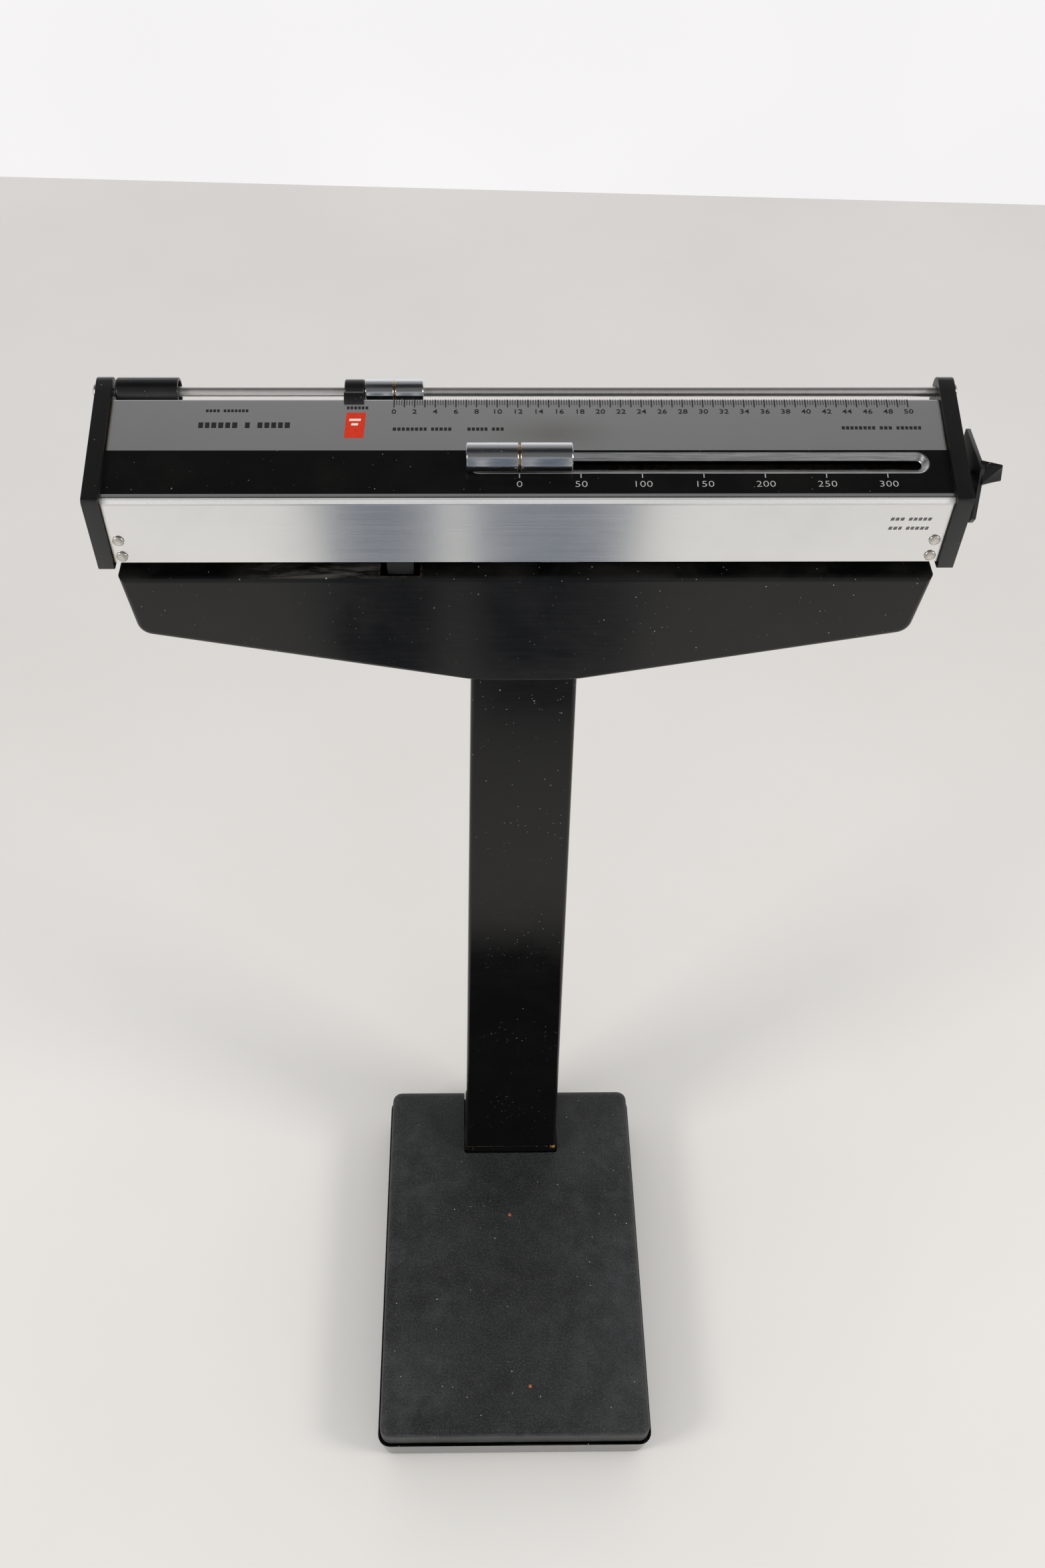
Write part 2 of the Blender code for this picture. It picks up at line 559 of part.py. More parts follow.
def cap_outline():
    """An end cap's profile: proud of the panel, round over the poise rod, as (y, z)."""
    front = RIDGE_Y - CAP_PROUD
    rise = math.tan(PANEL_SLOPE)
    ridge = RIDGE_Z + 0.0020
    corners = [(front, PANEL_BOTTOM - 0.0040), (0.0600, PANEL_BOTTOM - 0.0040), (0.0880, 0.9050),
               (ROD_Y + 0.0078, ROD_Z), (ROD_Y + 0.0078, ROD_Z + 0.0105),
               (ROD_Y - 0.0070, ridge + (ROD_Y - 0.0070 - front) * rise), (front, ridge)]
    return rounded(corners, [0.0015, 0.004, 0.006, 0.003, 0.0062, 0.0100, 0.0035], steps=4)


def build_end_caps(ride):
    """Two moulded caps, hollow on their inner side, that carry the rod's ends."""
    pocket_points = [(0.0040, PANEL_BOTTOM + 0.0030), (0.0580, PANEL_BOTTOM + 0.0030),
                     (0.0710, 0.9000), (0.0710, 0.9320), (0.0040, 0.9160)]

    def make(name, side):
        low, high = sorted((side * CAP_IN, side * CAP_OUT))
        cap = add(name, prism(cap_outline(), "x", low, high), "black_plastic", ride, smooth=40)
        bore = loft(turned(((-0.02, ROD_R + GAP), (0.02, ROD_R + GAP)), (side * CAP_IN, ROD_Y, ROD_Z)))
        boolean(cap, cutter(name + "_bore", bore, ride))
        inner = sorted((side * (CAP_IN - 0.01), side * (CAP_OUT - 0.0035)))
        pocket = cutter(name + "_pocket", prism(pocket_points, "x", *inner), ride)
        boolean(cap, pocket)
        if side > 0:
            shaft = loft(turned(((-0.03, 0.0043), (0.03, 0.0043)), (CAP_OUT, LOCK_Y, LOCK_Z), "x", 20))
            boolean(cap, cutter("lock_bore", shaft, ride))
    mirrored_pair(make, ("end_cap_left", "end_cap_right"))


def build_rod(ride):
    """The poise rod through both caps, its push-on buttons and the zero stop."""
    rod = ((-CAP_OUT, ROD_R), (CAP_OUT, ROD_R))
    add("poise_rod", loft(turned(rod, (0, ROD_Y, ROD_Z))), "steel", ride, smooth=40)

    def button(name, side):
        dome = ((GAP, 0.0052), (0.0010, 0.0052), (0.0022, 0.0045), (0.0030, 0.0030),
                (BUTTON_H, 0.0012))
        profile = [(side * (CAP_OUT + x), r) for x, r in dome]
        add(name, loft(turned(profile, (0, ROD_Y, ROD_Z), "x", 24)), "chrome", ride, smooth=50)
    mirrored_pair(button, ("rod_button_left", "rod_button_right"))

    (low, high), bore, bevel = COLLAR_X, ROD_R + GAP, 0.0006
    ring = [(low, bore), (low, COLLAR_R - bevel), (low + bevel, COLLAR_R),
            (high - bevel, COLLAR_R), (high, COLLAR_R - bevel), (high, bore)]
    add("zero_stop_collar", ring_loft(turned(ring, (0, ROD_Y, ROD_Z), "x", 28)),
        "black_plastic", ride, smooth=40)


def build_beam_frame(ride, face):
    """Bars, rear sheet, knives, stop tab, notched bar and rivets of the beam."""
    for name, y in (("beam_bar_front", 0.0030), ("beam_bar_rear", 0.0520)):
        add(name, block((-PANEL_HALF, PANEL_HALF), (y, y + 0.0050), (BEAM_BAR_LOW, BEAM_BAR_HIGH)),
            "steel", ride)
    add("rear_panel", block((-PANEL_HALF, PANEL_HALF), (0.0660, 0.0670), (0.8765, 0.9375)),
        "black_paint", ride)
    add("beam_knife", knife("y", 0.0, 0.0300, 0.0560, BEAM_BAR_LOW - GAP, FULCRUM_Z), "steel", ride)
    add("draw_knife", knife("y", DRAW_X, 0.0300, 0.0560, BEAM_BAR_LOW - 0.0080, BEAM_BAR_LOW - GAP),
        "steel", ride)
    tab = block((NOTCH_X[0] + 0.004, NOTCH_X[1] - 0.004), (0.0048, 0.0078),
                (HOOD_TOP - 0.0060, BEAM_BAR_LOW - GAP), 0.0005)
    add("beam_stop_tab", tab,
        "steel", ride)
    add("notched_bar", notched_bar(), "steel", face)
    for side, x in (("left", -0.2500), ("right", 0.2500)):
        for level, z in (("upper", 0.8922), ("lower", 0.8800)):
            dome = ((-GAP, 0.0035), (-0.0008, 0.0034), (-0.0014, 0.0027), (-0.0017, 0.0014))
            head = loft(turned(dome, (x, RIDGE_Y, z), "y", 20))
            add("rivet_%s_%s" % (side, level), head, "chrome", ride, smooth=50)


def notched_bar():
    """A flat bar under the slot with a vee notch for every fifty pounds, as (x, height)."""
    (left, right), (low, high), vee = NOTCHED_BAR_X, NOTCHED_BAR_H, 0.0020
    edge = [(left, low), (right, low), (right, high)]
    for k in reversed(range(LARGE_STEPS + 1)):
        at = LARGE_ZERO + LARGE_TRAVEL * k / LARGE_STEPS
        edge += [(at + vee, high), (at, high - vee), (at - vee, high)]
    edge.append((left, high))
    return prism(edge, "y", SLOT_AT - 0.0075, SLOT_AT - 0.0025)


def build_small_poise(ride):
    """The chrome poise that slides on the rod, with its index groove."""
    bore, radius = ROD_R + GAP, SMALL_R
    left, right = SMALL_ZERO - SMALL_LEN / 2 - 0.0002, SMALL_ZERO + SMALL_LEN / 2
    ring = [(left, bore), (left, radius - 0.0005), (left + 0.0005, radius),
            (SMALL_ZERO - 0.0008, radius), (SMALL_ZERO, radius - 0.0010), (SMALL_ZERO + 0.0008, radius),
            (right - 0.0005, radius), (right, radius - 0.0005), (right, bore)]
    add("small_poise", ring_loft(turned(ring, (0, ROD_Y, ROD_Z), "x", 40)), "chrome", ride, smooth=25)


def build_zero_sleeve(ride):
    """The black balance sleeve at the rod's left end."""
    (left, right), radius, bore = SLEEVE_X, SLEEVE_R, ROD_R + GAP
    ring = [(left, bore), (left, radius - 0.0006), (left + 0.0006, radius), (right - 0.0003, radius),
            (right, radius - 0.0004), (right, radius - 0.0020), (right - 0.0060, radius - 0.0022),
            (right - 0.0060, bore)]
    add("zero_balance_sleeve", ring_loft(turned(ring, (0, ROD_Y, ROD_Z), "x", 40)),
        "black_plastic", ride, smooth=40)


def build_large_poise(face):
    """The chrome poise over the slot, its neck, hidden weight and detent pawl."""
    zero, half, radius = LARGE_ZERO, LARGE_LEN / 2, LARGE_R
    profile = [(zero - half, radius - 0.0006), (zero - half + 0.0006, radius), (zero - 0.0010, radius),
               (zero, radius - 0.0013), (zero + 0.0010, radius), (zero + half - 0.0006, radius),
               (zero + half, radius - 0.0006)]
    poise = add("large_poise", loft(turned(profile, (0, SLOT_AT, LARGE_LIFT), "x", 48)), "chrome",
                face, smooth=25)
    flat = cutter("poise_flat", block((zero - LARGE_LEN, zero + LARGE_LEN),
                                      (SLOT_AT - 2 * radius, SLOT_AT + 2 * radius),
                                      (-2 * radius, LARGE_FLAT)), face)
    boolean(poise, flat)
    add("poise_neck", block((zero - 0.0100, zero + 0.0100), (SLOT_AT - 0.0016, SLOT_AT + 0.0016),
                            (-0.0167, LARGE_FLAT - GAP)), "steel", face)
    add("poise_weight", block((zero - 0.0270, zero + 0.0270), (SLOT_AT - 0.0130, SLOT_AT + 0.0130),
                              (-0.0310, -0.0170), 0.0010), "cast_iron", face)
    pawl = [(zero - 0.0045, -0.0060), (zero - 0.0012, -0.0060), (zero, -0.0086), (zero + 0.0012, -0.0060),
            (zero + 0.0045, -0.0060), (zero + 0.0045, -0.0045), (zero - 0.0045, -0.0045)]
    add("detent_pawl", prism(pawl, "y", SLOT_AT - 0.0065, SLOT_AT - 0.0016 - GAP), "steel", face)


def build_lock(ride):
    """The beam lock at the right end: plate with a finger blade, and its shaft with a cam."""
    plate = [(0.0070, 0.9020), (0.0100, 0.8965), (0.0580, 0.8965), (0.0580, 0.9320), (0.0177, 0.9320)]
    outline = rounded(plate, 0.0012, steps=2)
    knob = add("lock_knob", prism(outline, "x", LOCK_PLATE_IN, LOCK_PLATE_OUT), "black_plastic", ride,
               smooth=40)
    root = [(0.0135, 0.9225), (0.0250, 0.9318)]
    tip = [(0.0160, 0.9240), (0.0204, 0.9325)]
    loops = []
    for x, (low, high) in ((LOCK_PLATE_OUT - 0.001, root), (LOCK_TIP, tip)):
        low, high = Vector(low), Vector(high)
        side = (high - low).orthogonal().normalized() * (0.0018 if x > LOCK_PLATE_OUT else 0.0026)
        corners = [low - side, low + side, high + side, high - side]
        loops.append([(x, p.x, p.y) for p in rounded([tuple(c) for c in corners], 0.0008, steps=2)])
    boolean(knob, cutter("finger_blade", loft(loops), ride), "UNION")
    shaft = ((0.2480, 0.0040), (LOCK_PLATE_IN - GAP, 0.0040))
    lock = add("lock_shaft", loft(turned(shaft, (0, LOCK_Y, LOCK_Z), "x", 20)), "steel", ride, smooth=40)
    arm = [(LOCK_Y - 0.006, LOCK_Z - 0.006), (LOCK_Y + LOCK_CAM, LOCK_Z - 0.004),
           (LOCK_Y + LOCK_CAM, LOCK_Z + 0.004), (LOCK_Y - 0.006, LOCK_Z + 0.006)]
    cam = cutter("lock_cam", prism(arm, "x", 0.2485, 0.2515), ride)
    boolean(lock, cam, "UNION")


# ---------------------------------------------------------------- assembly
def build():
    clear_scene()
    shift = (-(BOX_X[0] + BOX_X[1]) / 2, -(BOX_Y[0] + BOX_Y[1]) / 2, 0)
    scale = empty("scale_on_floor", shift)
    beam = empty("beam_tilt_axis", (0, 0, FULCRUM_Z), parent=scale)
    in_beam = empty("beam_parts", (0, 0, -FULCRUM_Z), parent=beam)
    face = empty("sloping_face", (0, RIDGE_Y, RIDGE_Z), PANEL_SLOPE, parent=in_beam)
    lock = empty("lock_axis", (0, LOCK_Y, LOCK_Z), parent=in_beam)
    in_lock = empty("lock_parts", (0, -LOCK_Y, -LOCK_Z), parent=lock)
    long_lever = empty("long_lever_axis", (0, FRONT_FULCRUM_Y, 0), parent=scale)
    in_long = empty("long_lever_parts", (0, -FRONT_FULCRUM_Y, 0), parent=long_lever)
    short_lever = empty("short_lever_axis", (0, REAR_FULCRUM_Y, 0), parent=scale)
    in_short = empty("short_lever_parts", (0, -REAR_FULCRUM_Y, 0), parent=short_lever)

    build_base(scale)
    build_platform(scale, empty("platform_travel", parent=scale))
    build_long_lever(in_long)
    build_short_lever(in_short)
    build_lever_link(empty("link_travel", parent=scale))
    build_lever_bearings(scale)
    build_column(scale)
    build_draw_rod(empty("draw_rod_travel", parent=scale))
    build_hood(scale)
    build_fulcrum(scale)
    build_face_panel(in_beam, face)
    build_slot_dish(face)
    build_end_caps(in_beam)
    build_rod(in_beam)
    build_beam_frame(in_beam, face)
    build_small_poise(in_beam)
    build_zero_sleeve(in_beam)
    build_large_poise(face)
    build_lock(in_lock)
    bpy.context.view_layer.update()


build()
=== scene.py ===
"""The looks of the physician beam scale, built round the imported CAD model.

Places are worked out from the CAD boxes.  On the beam most things are placed on the sloping face:
x to the right from the column's centre plane, s up the face from its front ridge, h above it.
"""
import math
import random

import bmesh
import bpy
from mathutils import Matrix, Vector


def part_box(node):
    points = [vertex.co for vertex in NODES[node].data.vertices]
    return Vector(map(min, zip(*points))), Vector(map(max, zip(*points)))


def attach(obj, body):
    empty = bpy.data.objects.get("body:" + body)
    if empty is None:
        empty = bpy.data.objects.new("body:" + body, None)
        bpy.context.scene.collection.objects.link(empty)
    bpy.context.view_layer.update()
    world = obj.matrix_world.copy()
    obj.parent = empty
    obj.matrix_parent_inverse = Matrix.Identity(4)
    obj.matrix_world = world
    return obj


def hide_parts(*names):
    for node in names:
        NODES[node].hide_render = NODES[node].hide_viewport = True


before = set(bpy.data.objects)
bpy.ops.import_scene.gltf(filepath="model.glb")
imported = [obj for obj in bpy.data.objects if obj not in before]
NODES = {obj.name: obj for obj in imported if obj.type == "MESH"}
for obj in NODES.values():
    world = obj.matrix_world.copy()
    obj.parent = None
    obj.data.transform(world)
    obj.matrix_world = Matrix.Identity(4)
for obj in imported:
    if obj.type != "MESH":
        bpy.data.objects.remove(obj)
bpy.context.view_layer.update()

INK = 0.00006                 # thickness of a printed layer
BORE_GAP = 0.0003             # round the rod, in what slides or sits on it
SKIRT_RISE = 0.0125           # the column's folded collar, above the tread

# ---------------------------------------------------------------- places worked out from the frame
panel_low, panel_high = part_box("face_panel")
rod_low, rod_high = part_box("poise_rod")
column_low, column_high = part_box("column")
tread_low, tread_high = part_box("platform_tread")
hood_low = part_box("hood_shell")[0]

CENTRE_X = (panel_low.x + panel_high.x) / 2
PANEL_HALF = (panel_high.x - panel_low.x) / 2
FACE_SLOPE = math.radians(15.4)
RIDGE = Vector((CENTRE_X, panel_low.y, panel_low.z + 0.0472))
UP_FACE = Vector((0, math.cos(FACE_SLOPE), math.sin(FACE_SLOPE)))
OUT_OF_FACE = Vector((0, -math.sin(FACE_SLOPE), math.cos(FACE_SLOPE)))
FACE_LENGTH = 0.0771
ROD_AT = (rod_low + rod_high) / 2
ROD_R = (rod_high.z - rod_low.z) / 2

SMALL_ZERO, SMALL_POUND, SMALL_POUNDS = -0.0820, 0.00635, 50
LARGE_ZERO, LARGE_FIFTY, LARGE_STEPS = -0.0055, 0.22225 / 6, 6
SLOT_AT = 0.0278
COLUMN_TOP_HALF, COLUMN_LEAN = 0.0350, 0.0098
NOTCH_HALF, NOTCH_FRONT = 0.0124, 0.0025    # in the hood's flange, from the stop tab and the hood's front
BAND_LOW, BAND_HIGH = 0.0053, 0.0372


def face_point(x, s, h=0.0):
    return RIDGE + Vector((x, 0, 0)) + UP_FACE * s + OUT_OF_FACE * h


FACE_FRAME = Matrix.Translation(RIDGE) @ Matrix.Rotation(FACE_SLOPE, 4, "X")


# ---------------------------------------------------------------- material graphs
class Graph:
    """A node material under construction; every helper returns an output socket."""

    def __init__(self, name):
        self.material = bpy.data.materials.new(name)
        self.material.use_nodes = True
        self.tree = self.material.node_tree
        self.shader = self.tree.nodes["Principled BSDF"]
        coordinates = self.tree.nodes.new("ShaderNodeTexCoord")
        self.position = coordinates.outputs["Object"]

    def put(self, socket, value):
        if isinstance(value, bpy.types.NodeSocket):
            self.tree.links.new(value, socket)
        elif isinstance(value, (tuple, list)) and len(value) == 3 and len(socket.default_value) == 4:
            socket.default_value = (*value, 1.0)
        else:
            socket.default_value = value

    def surface(self, **values):
        """Set the Principled shader's sockets: base_color=..., roughness=..., and so on."""
        for name, value in values.items():
            self.put(self.shader.inputs[name.replace("_", " ").title().replace("Ior", "IOR")], value)
        return self.material

    def math(self, operation, a, b=0.0, clamp=False):
        node = self.tree.nodes.new("ShaderNodeMath")
        node.operation, node.use_clamp = operation, clamp
        self.put(node.inputs[0], a)
        self.put(node.inputs[1], b)
        return node.outputs[0]

    def scaled(self, scale, shift=(0, 0, 0)):
        """Object position multiplied by scale on each axis."""
        node = self.tree.nodes.new("ShaderNodeMapping")
        self.put(node.inputs["Vector"], self.position)
        node.inputs["Scale"].default_value = scale
        node.inputs["Location"].default_value = shift
        return node.outputs[0]

    def noise(self, scale, detail=3.0, roughness=0.6, vector=None, distortion=0.0):
        node = self.tree.nodes.new("ShaderNodeTexNoise")
        self.put(node.inputs["Vector"], vector or self.position)
        node.inputs["Scale"].default_value = scale
        node.inputs["Detail"].default_value = detail
        node.inputs["Roughness"].default_value = roughness
        node.inputs["Distortion"].default_value = distortion
        return node.outputs["Fac"]

    def span(self, value, low, high, out_low=0.0, out_high=1.0):
        """Clamp value from low..high to out_low..out_high."""
        node = self.tree.nodes.new("ShaderNodeMapRange")
        for socket, number in zip(node.inputs[:5], (value, low, high, out_low, out_high)):
            self.put(socket, number)
        return node.outputs[0]

    def blend(self, fac, a, b):
        """Colour a where fac is 0 and b where it is 1."""
        node = self.tree.nodes.new("ShaderNodeMix")
        node.data_type = "RGBA"
        self.put(node.inputs["Factor"], fac)
        self.put(node.inputs[6], a)
        self.put(node.inputs[7], b)
        return node.outputs[2]

    def specks(self, per_metre, size, share, seed=0.0):
        """Scattered round dots: 1 inside, 0 outside, in a share of the cells."""
        cells = self.tree.nodes.new("ShaderNodeTexVoronoi")
        self.put(cells.inputs["Vector"], self.scaled((1, 1, 1), (seed, seed * 0.7, seed * 0.3)))
        cells.inputs["Scale"].default_value = per_metre
        parts = self.tree.nodes.new("ShaderNodeSeparateColor")
        self.put(parts.inputs[0], cells.outputs["Color"])
        chosen = self.math("GREATER_THAN", parts.outputs[0], 1 - share)
        reach = self.math("MULTIPLY", parts.outputs[1], size)
        dot = self.math("LESS_THAN", cells.outputs["Distance"], reach)
        return self.math("MULTIPLY", chosen, dot)

    def axes(self):
        """The object position's x, y and z."""
        parts = self.tree.nodes.new("ShaderNodeSeparateXYZ")
        self.put(parts.inputs[0], self.position)
        return parts.outputs

    def near(self, value, at, reach, soft):
        """1 within reach of at, fading out over soft."""
        away = self.math("ABSOLUTE", self.math("SUBTRACT", value, at))
        return self.span(away, reach, reach + soft, 1.0, 0.0)

    def facing(self, axis):
        """How much the surface faces +X, +Y or +Z of the world at rest."""
        geometry = self.tree.nodes.new("ShaderNodeNewGeometry")
        parts = self.tree.nodes.new("ShaderNodeSeparateXYZ")
        self.put(parts.inputs[0], geometry.outputs["Normal"])
        return parts.outputs["XYZ".index(axis)]

    def bump(self, height, strength, distance):
        node = self.tree.nodes.new("ShaderNodeBump")
        self.put(node.inputs["Height"], height)
        node.inputs["Strength"].default_value = strength
        node.inputs["Distance"].default_value = distance
        self.put(self.shader.inputs["Normal"], node.outputs[0])

    def brushed_along_x(self, amount):
        """Stretch highlights across brushing that runs along X."""
        tangent = self.tree.nodes.new("ShaderNodeTangent")
        tangent.direction_type, tangent.axis = "RADIAL", "X"
        self.put(self.shader.inputs["Tangent"], tangent.outputs[0])
        self.shader.inputs["Anisotropic"].default_value = amount


def total(graph, values):
    """The sum of several 0..1 masks, clamped."""
    out = values[0]
    for value in values[1:]:
        out = graph.math("ADD", out, value, clamp=True)
    return out


def brushed_face():
    """Anodised aluminium, finely brushed along the beam, dusty and a little stained."""
    g = Graph("brushed_face")
    lines = g.noise(1.0, 4.0, 0.7, g.scaled((9, 2600, 2600)))
    broad = g.noise(1.0, 3.0, 0.6, g.scaled((5, 320, 320)))
    cloud = g.noise(14.0, 4.0, 0.6)
    tone = g.math("ADD", g.span(lines, 0.3, 0.7, -0.05, 0.05), g.span(broad, 0.3, 0.7, -0.03, 0.03))
    x, y, _ = g.axes()
    stain = g.math("MULTIPLY", g.near(x, CENTRE_X + 0.016, 0.004, 0.040),
                   g.near(y, face_point(0, 0.050).y, 0.002, 0.013))
    dark = g.blend(g.math("MULTIPLY", stain, 0.35), (0.97, 0.97, 0.97), (0.40, 0.34, 0.30))
    clouded = g.blend(g.span(cloud, 0.52, 0.75, 0.0, 0.20), dark, (0.76, 0.76, 0.75))
    shade = g.blend(g.math("ADD", 0.5, tone), (0.88, 0.88, 0.88), (1.0, 1.0, 1.0))
    node = g.tree.nodes.new("ShaderNodeMix")
    node.data_type, node.blend_type = "RGBA", "MULTIPLY"
    node.inputs["Factor"].default_value = 1.0
    g.put(node.inputs[6], clouded)
    g.put(node.inputs[7], shade)
    end = total(g, [g.near(x, CENTRE_X + side * PANEL_HALF, 0.0004, 0.0016) for side in (-1, 1)])
    grimy = g.blend(g.math("MULTIPLY", end, g.span(cloud, 0.35, 0.6, 0.2, 0.95)), node.outputs[2],
                    (0.22, 0.17, 0.08))
    bend = g.math("MULTIPLY", g.span(g.facing("Z"), 0.10, 0.40),
                  g.span(g.facing("Z"), 0.75, 0.93, 1.0, 0.0))
    rear_edge = g.math("GREATER_THAN", y, face_point(0, FACE_LENGTH - 0.0009).y)
    bend = g.math("MULTIPLY", bend, g.math("SUBTRACT", 1.0, rear_edge))
    nicks = g.math("MULTIPLY", bend, g.span(g.noise(900.0, 3.0, 0.7), 0.50, 0.60))
    dust = total(g, [g.specks(260, 0.16, 0.10), g.specks(700, 0.22, 0.05, 3.1)])
    worn = g.blend(g.math("MULTIPLY", nicks, 0.6), grimy, (1.0, 1.0, 1.0))
    # Right of the stop collar, a near-black strip is drawn along the panel's rear edge, under the rod.
    dark_rear_strip = g.math("MULTIPLY", rear_edge, g.math("GREATER_THAN", x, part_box("zero_stop_collar")[1].x))
    worn = g.blend(dark_rear_strip, worn, (0.02, 0.02, 0.02))
    color = g.blend(g.math("MULTIPLY", dust, 0.75), worn, (0.86, 0.85, 0.80))
    rough = g.math("ADD", g.span(lines, 0.3, 0.7, 0.17, 0.23), g.span(cloud, 0.4, 0.7, 0.0, 0.05))
    # The ridge bend is made rougher and less metallic, so its near-white colour shows as a pale band: a
    # painted highlight along the ridge.
    rough = g.math("ADD", rough, g.math("MULTIPLY", bend, 0.35))
    metallic_less_on_painted_ridge = g.math("SUBTRACT", 1.0, g.math("MULTIPLY", bend, 0.45))
    g.bump(g.math("ADD", g.math("MULTIPLY", lines, 0.5), total(g, [dust, nicks])), 0.25, 0.00002)
    g.brushed_along_x(0.55)
    return g.surface(base_color=color, roughness=rough, metallic=metallic_less_on_painted_ridge)


def black_ink():
    """The printed black band: smooth, with fine dust and short light scuffs."""
    g = Graph("black_ink")
    dust = total(g, [g.specks(240, 0.13, 0.12, 1.3), g.specks(620, 0.20, 0.06, 5.0)])
    lines = g.noise(1.0, 3.0, 0.6, g.scaled((14, 1900, 1900)))
    haze = g.noise(22.0, 4.0, 0.65)
    color = g.blend(g.span(haze, 0.5, 0.8, 0.0, 0.5), (0.0035, 0.0035, 0.0035), (0.009, 0.009, 0.008))
    g.bump(g.math("ADD", g.math("MULTIPLY", lines, 0.2), dust), 0.1, 0.00002)
    return g.surface(base_color=g.blend(g.math("MULTIPLY", dust, 0.5), color, (0.30, 0.30, 0.27)),
                     roughness=g.span(haze, 0.3, 0.7, 0.20, 0.30), specular_ior_level=0.14)


def plain_ink(name, color, wear):
    """A thin print in one colour, slightly worn."""
    g = Graph(name)
    worn = g.span(g.noise(900.0, 3.0, 0.7), 0.58, 0.72, 0.0, wear)
    faded = tuple(c * 0.6 + 0.12 for c in color)
    return g.surface(base_color=g.blend(worn, color, faded), roughness=0.45)


def enamel(name, dusty, wear, gloss=0.38):
    """Black enamel on steel; dusty is the haze on it, wear(graph, color, haze) adds one piece's marks."""
    g = Graph(name)
    haze = g.noise(18.0, 5.0, 0.62, distortion=0.4)
    fine = g.noise(420.0, 2.0, 0.5)
    streaks = g.noise(1.0, 3.0, 0.6, g.scaled((30, 30, 420)))
    upward = g.span(g.facing("Z"), 0.35, 0.95, 0.25, 1.0)
    dust = total(g, [g.specks(210, 0.12, 0.10, 2.2), g.specks(560, 0.20, 0.07, 7.7)])
    film = g.math("MULTIPLY", g.span(haze, 0.42, 0.75, 0.0, dusty), upward)
    color = g.blend(film, (0.0025, 0.0025, 0.0025), (0.040, 0.039, 0.036))
    color = g.blend(g.math("MULTIPLY", dust, 0.65), color, (0.46, 0.45, 0.42))
    color = wear(g, color, haze)
    rough = g.math("ADD", g.span(haze, 0.3, 0.75, 0.11, 0.22), g.span(streaks, 0.4, 0.7, 0.0, 0.04))
    g.bump(g.math("ADD", g.math("MULTIPLY", fine, 0.15), dust), 0.15, 0.00004)
    return g.surface(base_color=color, roughness=rough, specular_ior_level=gloss)


def base_wear(g, color, haze):
    """A pale film of floor dust on the base's upright sides, and one hairline seam in front."""
    x, y, _ = g.axes()
    upright = g.span(g.math("ABSOLUTE", g.facing("Z")), 0.35, 0.75, 1.0, 0.0)
    film = g.math("MULTIPLY", upright, g.span(haze, 0.3, 0.7, 0.55, 0.9))
    color = g.blend(film, color, (0.150, 0.148, 0.150))
    seam = g.math("MULTIPLY", g.near(x, CENTRE_X + 0.0035, 0.00012, 0.00015), g.math("LESS_THAN", y, 0.0))
    return g.blend(g.math("MULTIPLY", seam, upright), color, (0.02, 0.02, 0.02))


def skirt_wear(g, color, haze):
    """Brown primer and orange rust along the collar's rubbed top edge."""
    x, _, z = g.axes()
    band = g.near(z, tread_high.z + SKIRT_RISE, 0.0002, 0.0005)
    broken = g.span(g.noise(240.0, 4.0, 0.7), 0.42, 0.58, 0.0, 1.0)
    color = g.blend(g.math("MULTIPLY", band, broken), color, (0.045, 0.027, 0.016))
    chip = g.math("MULTIPLY", g.near(x, column_high.x - 0.0040, 0.0016, 0.0014),
                  g.near(z, tread_high.z + 0.0112, 0.0014, 0.0020))
    return g.blend(g.math("MULTIPLY", chip, g.span(g.noise(700.0), 0.4, 0.5)), color, (0.55, 0.26, 0.05))


def column_wear(g, color, haze):
    """Pale chips along the column's edges."""
    side = g.span(g.math("ABSOLUTE", g.facing("X")), 0.25, 0.6)
    edge = g.math("MULTIPLY", side, g.math("GREATER_THAN", 0.9, g.math("ABSOLUTE", g.facing("X"))))
    nicks = g.math("MULTIPLY", edge, g.span(g.noise(75.0, 5.0, 0.75), 0.66, 0.69))
    return g.blend(nicks, color, (0.45, 0.44, 0.40))


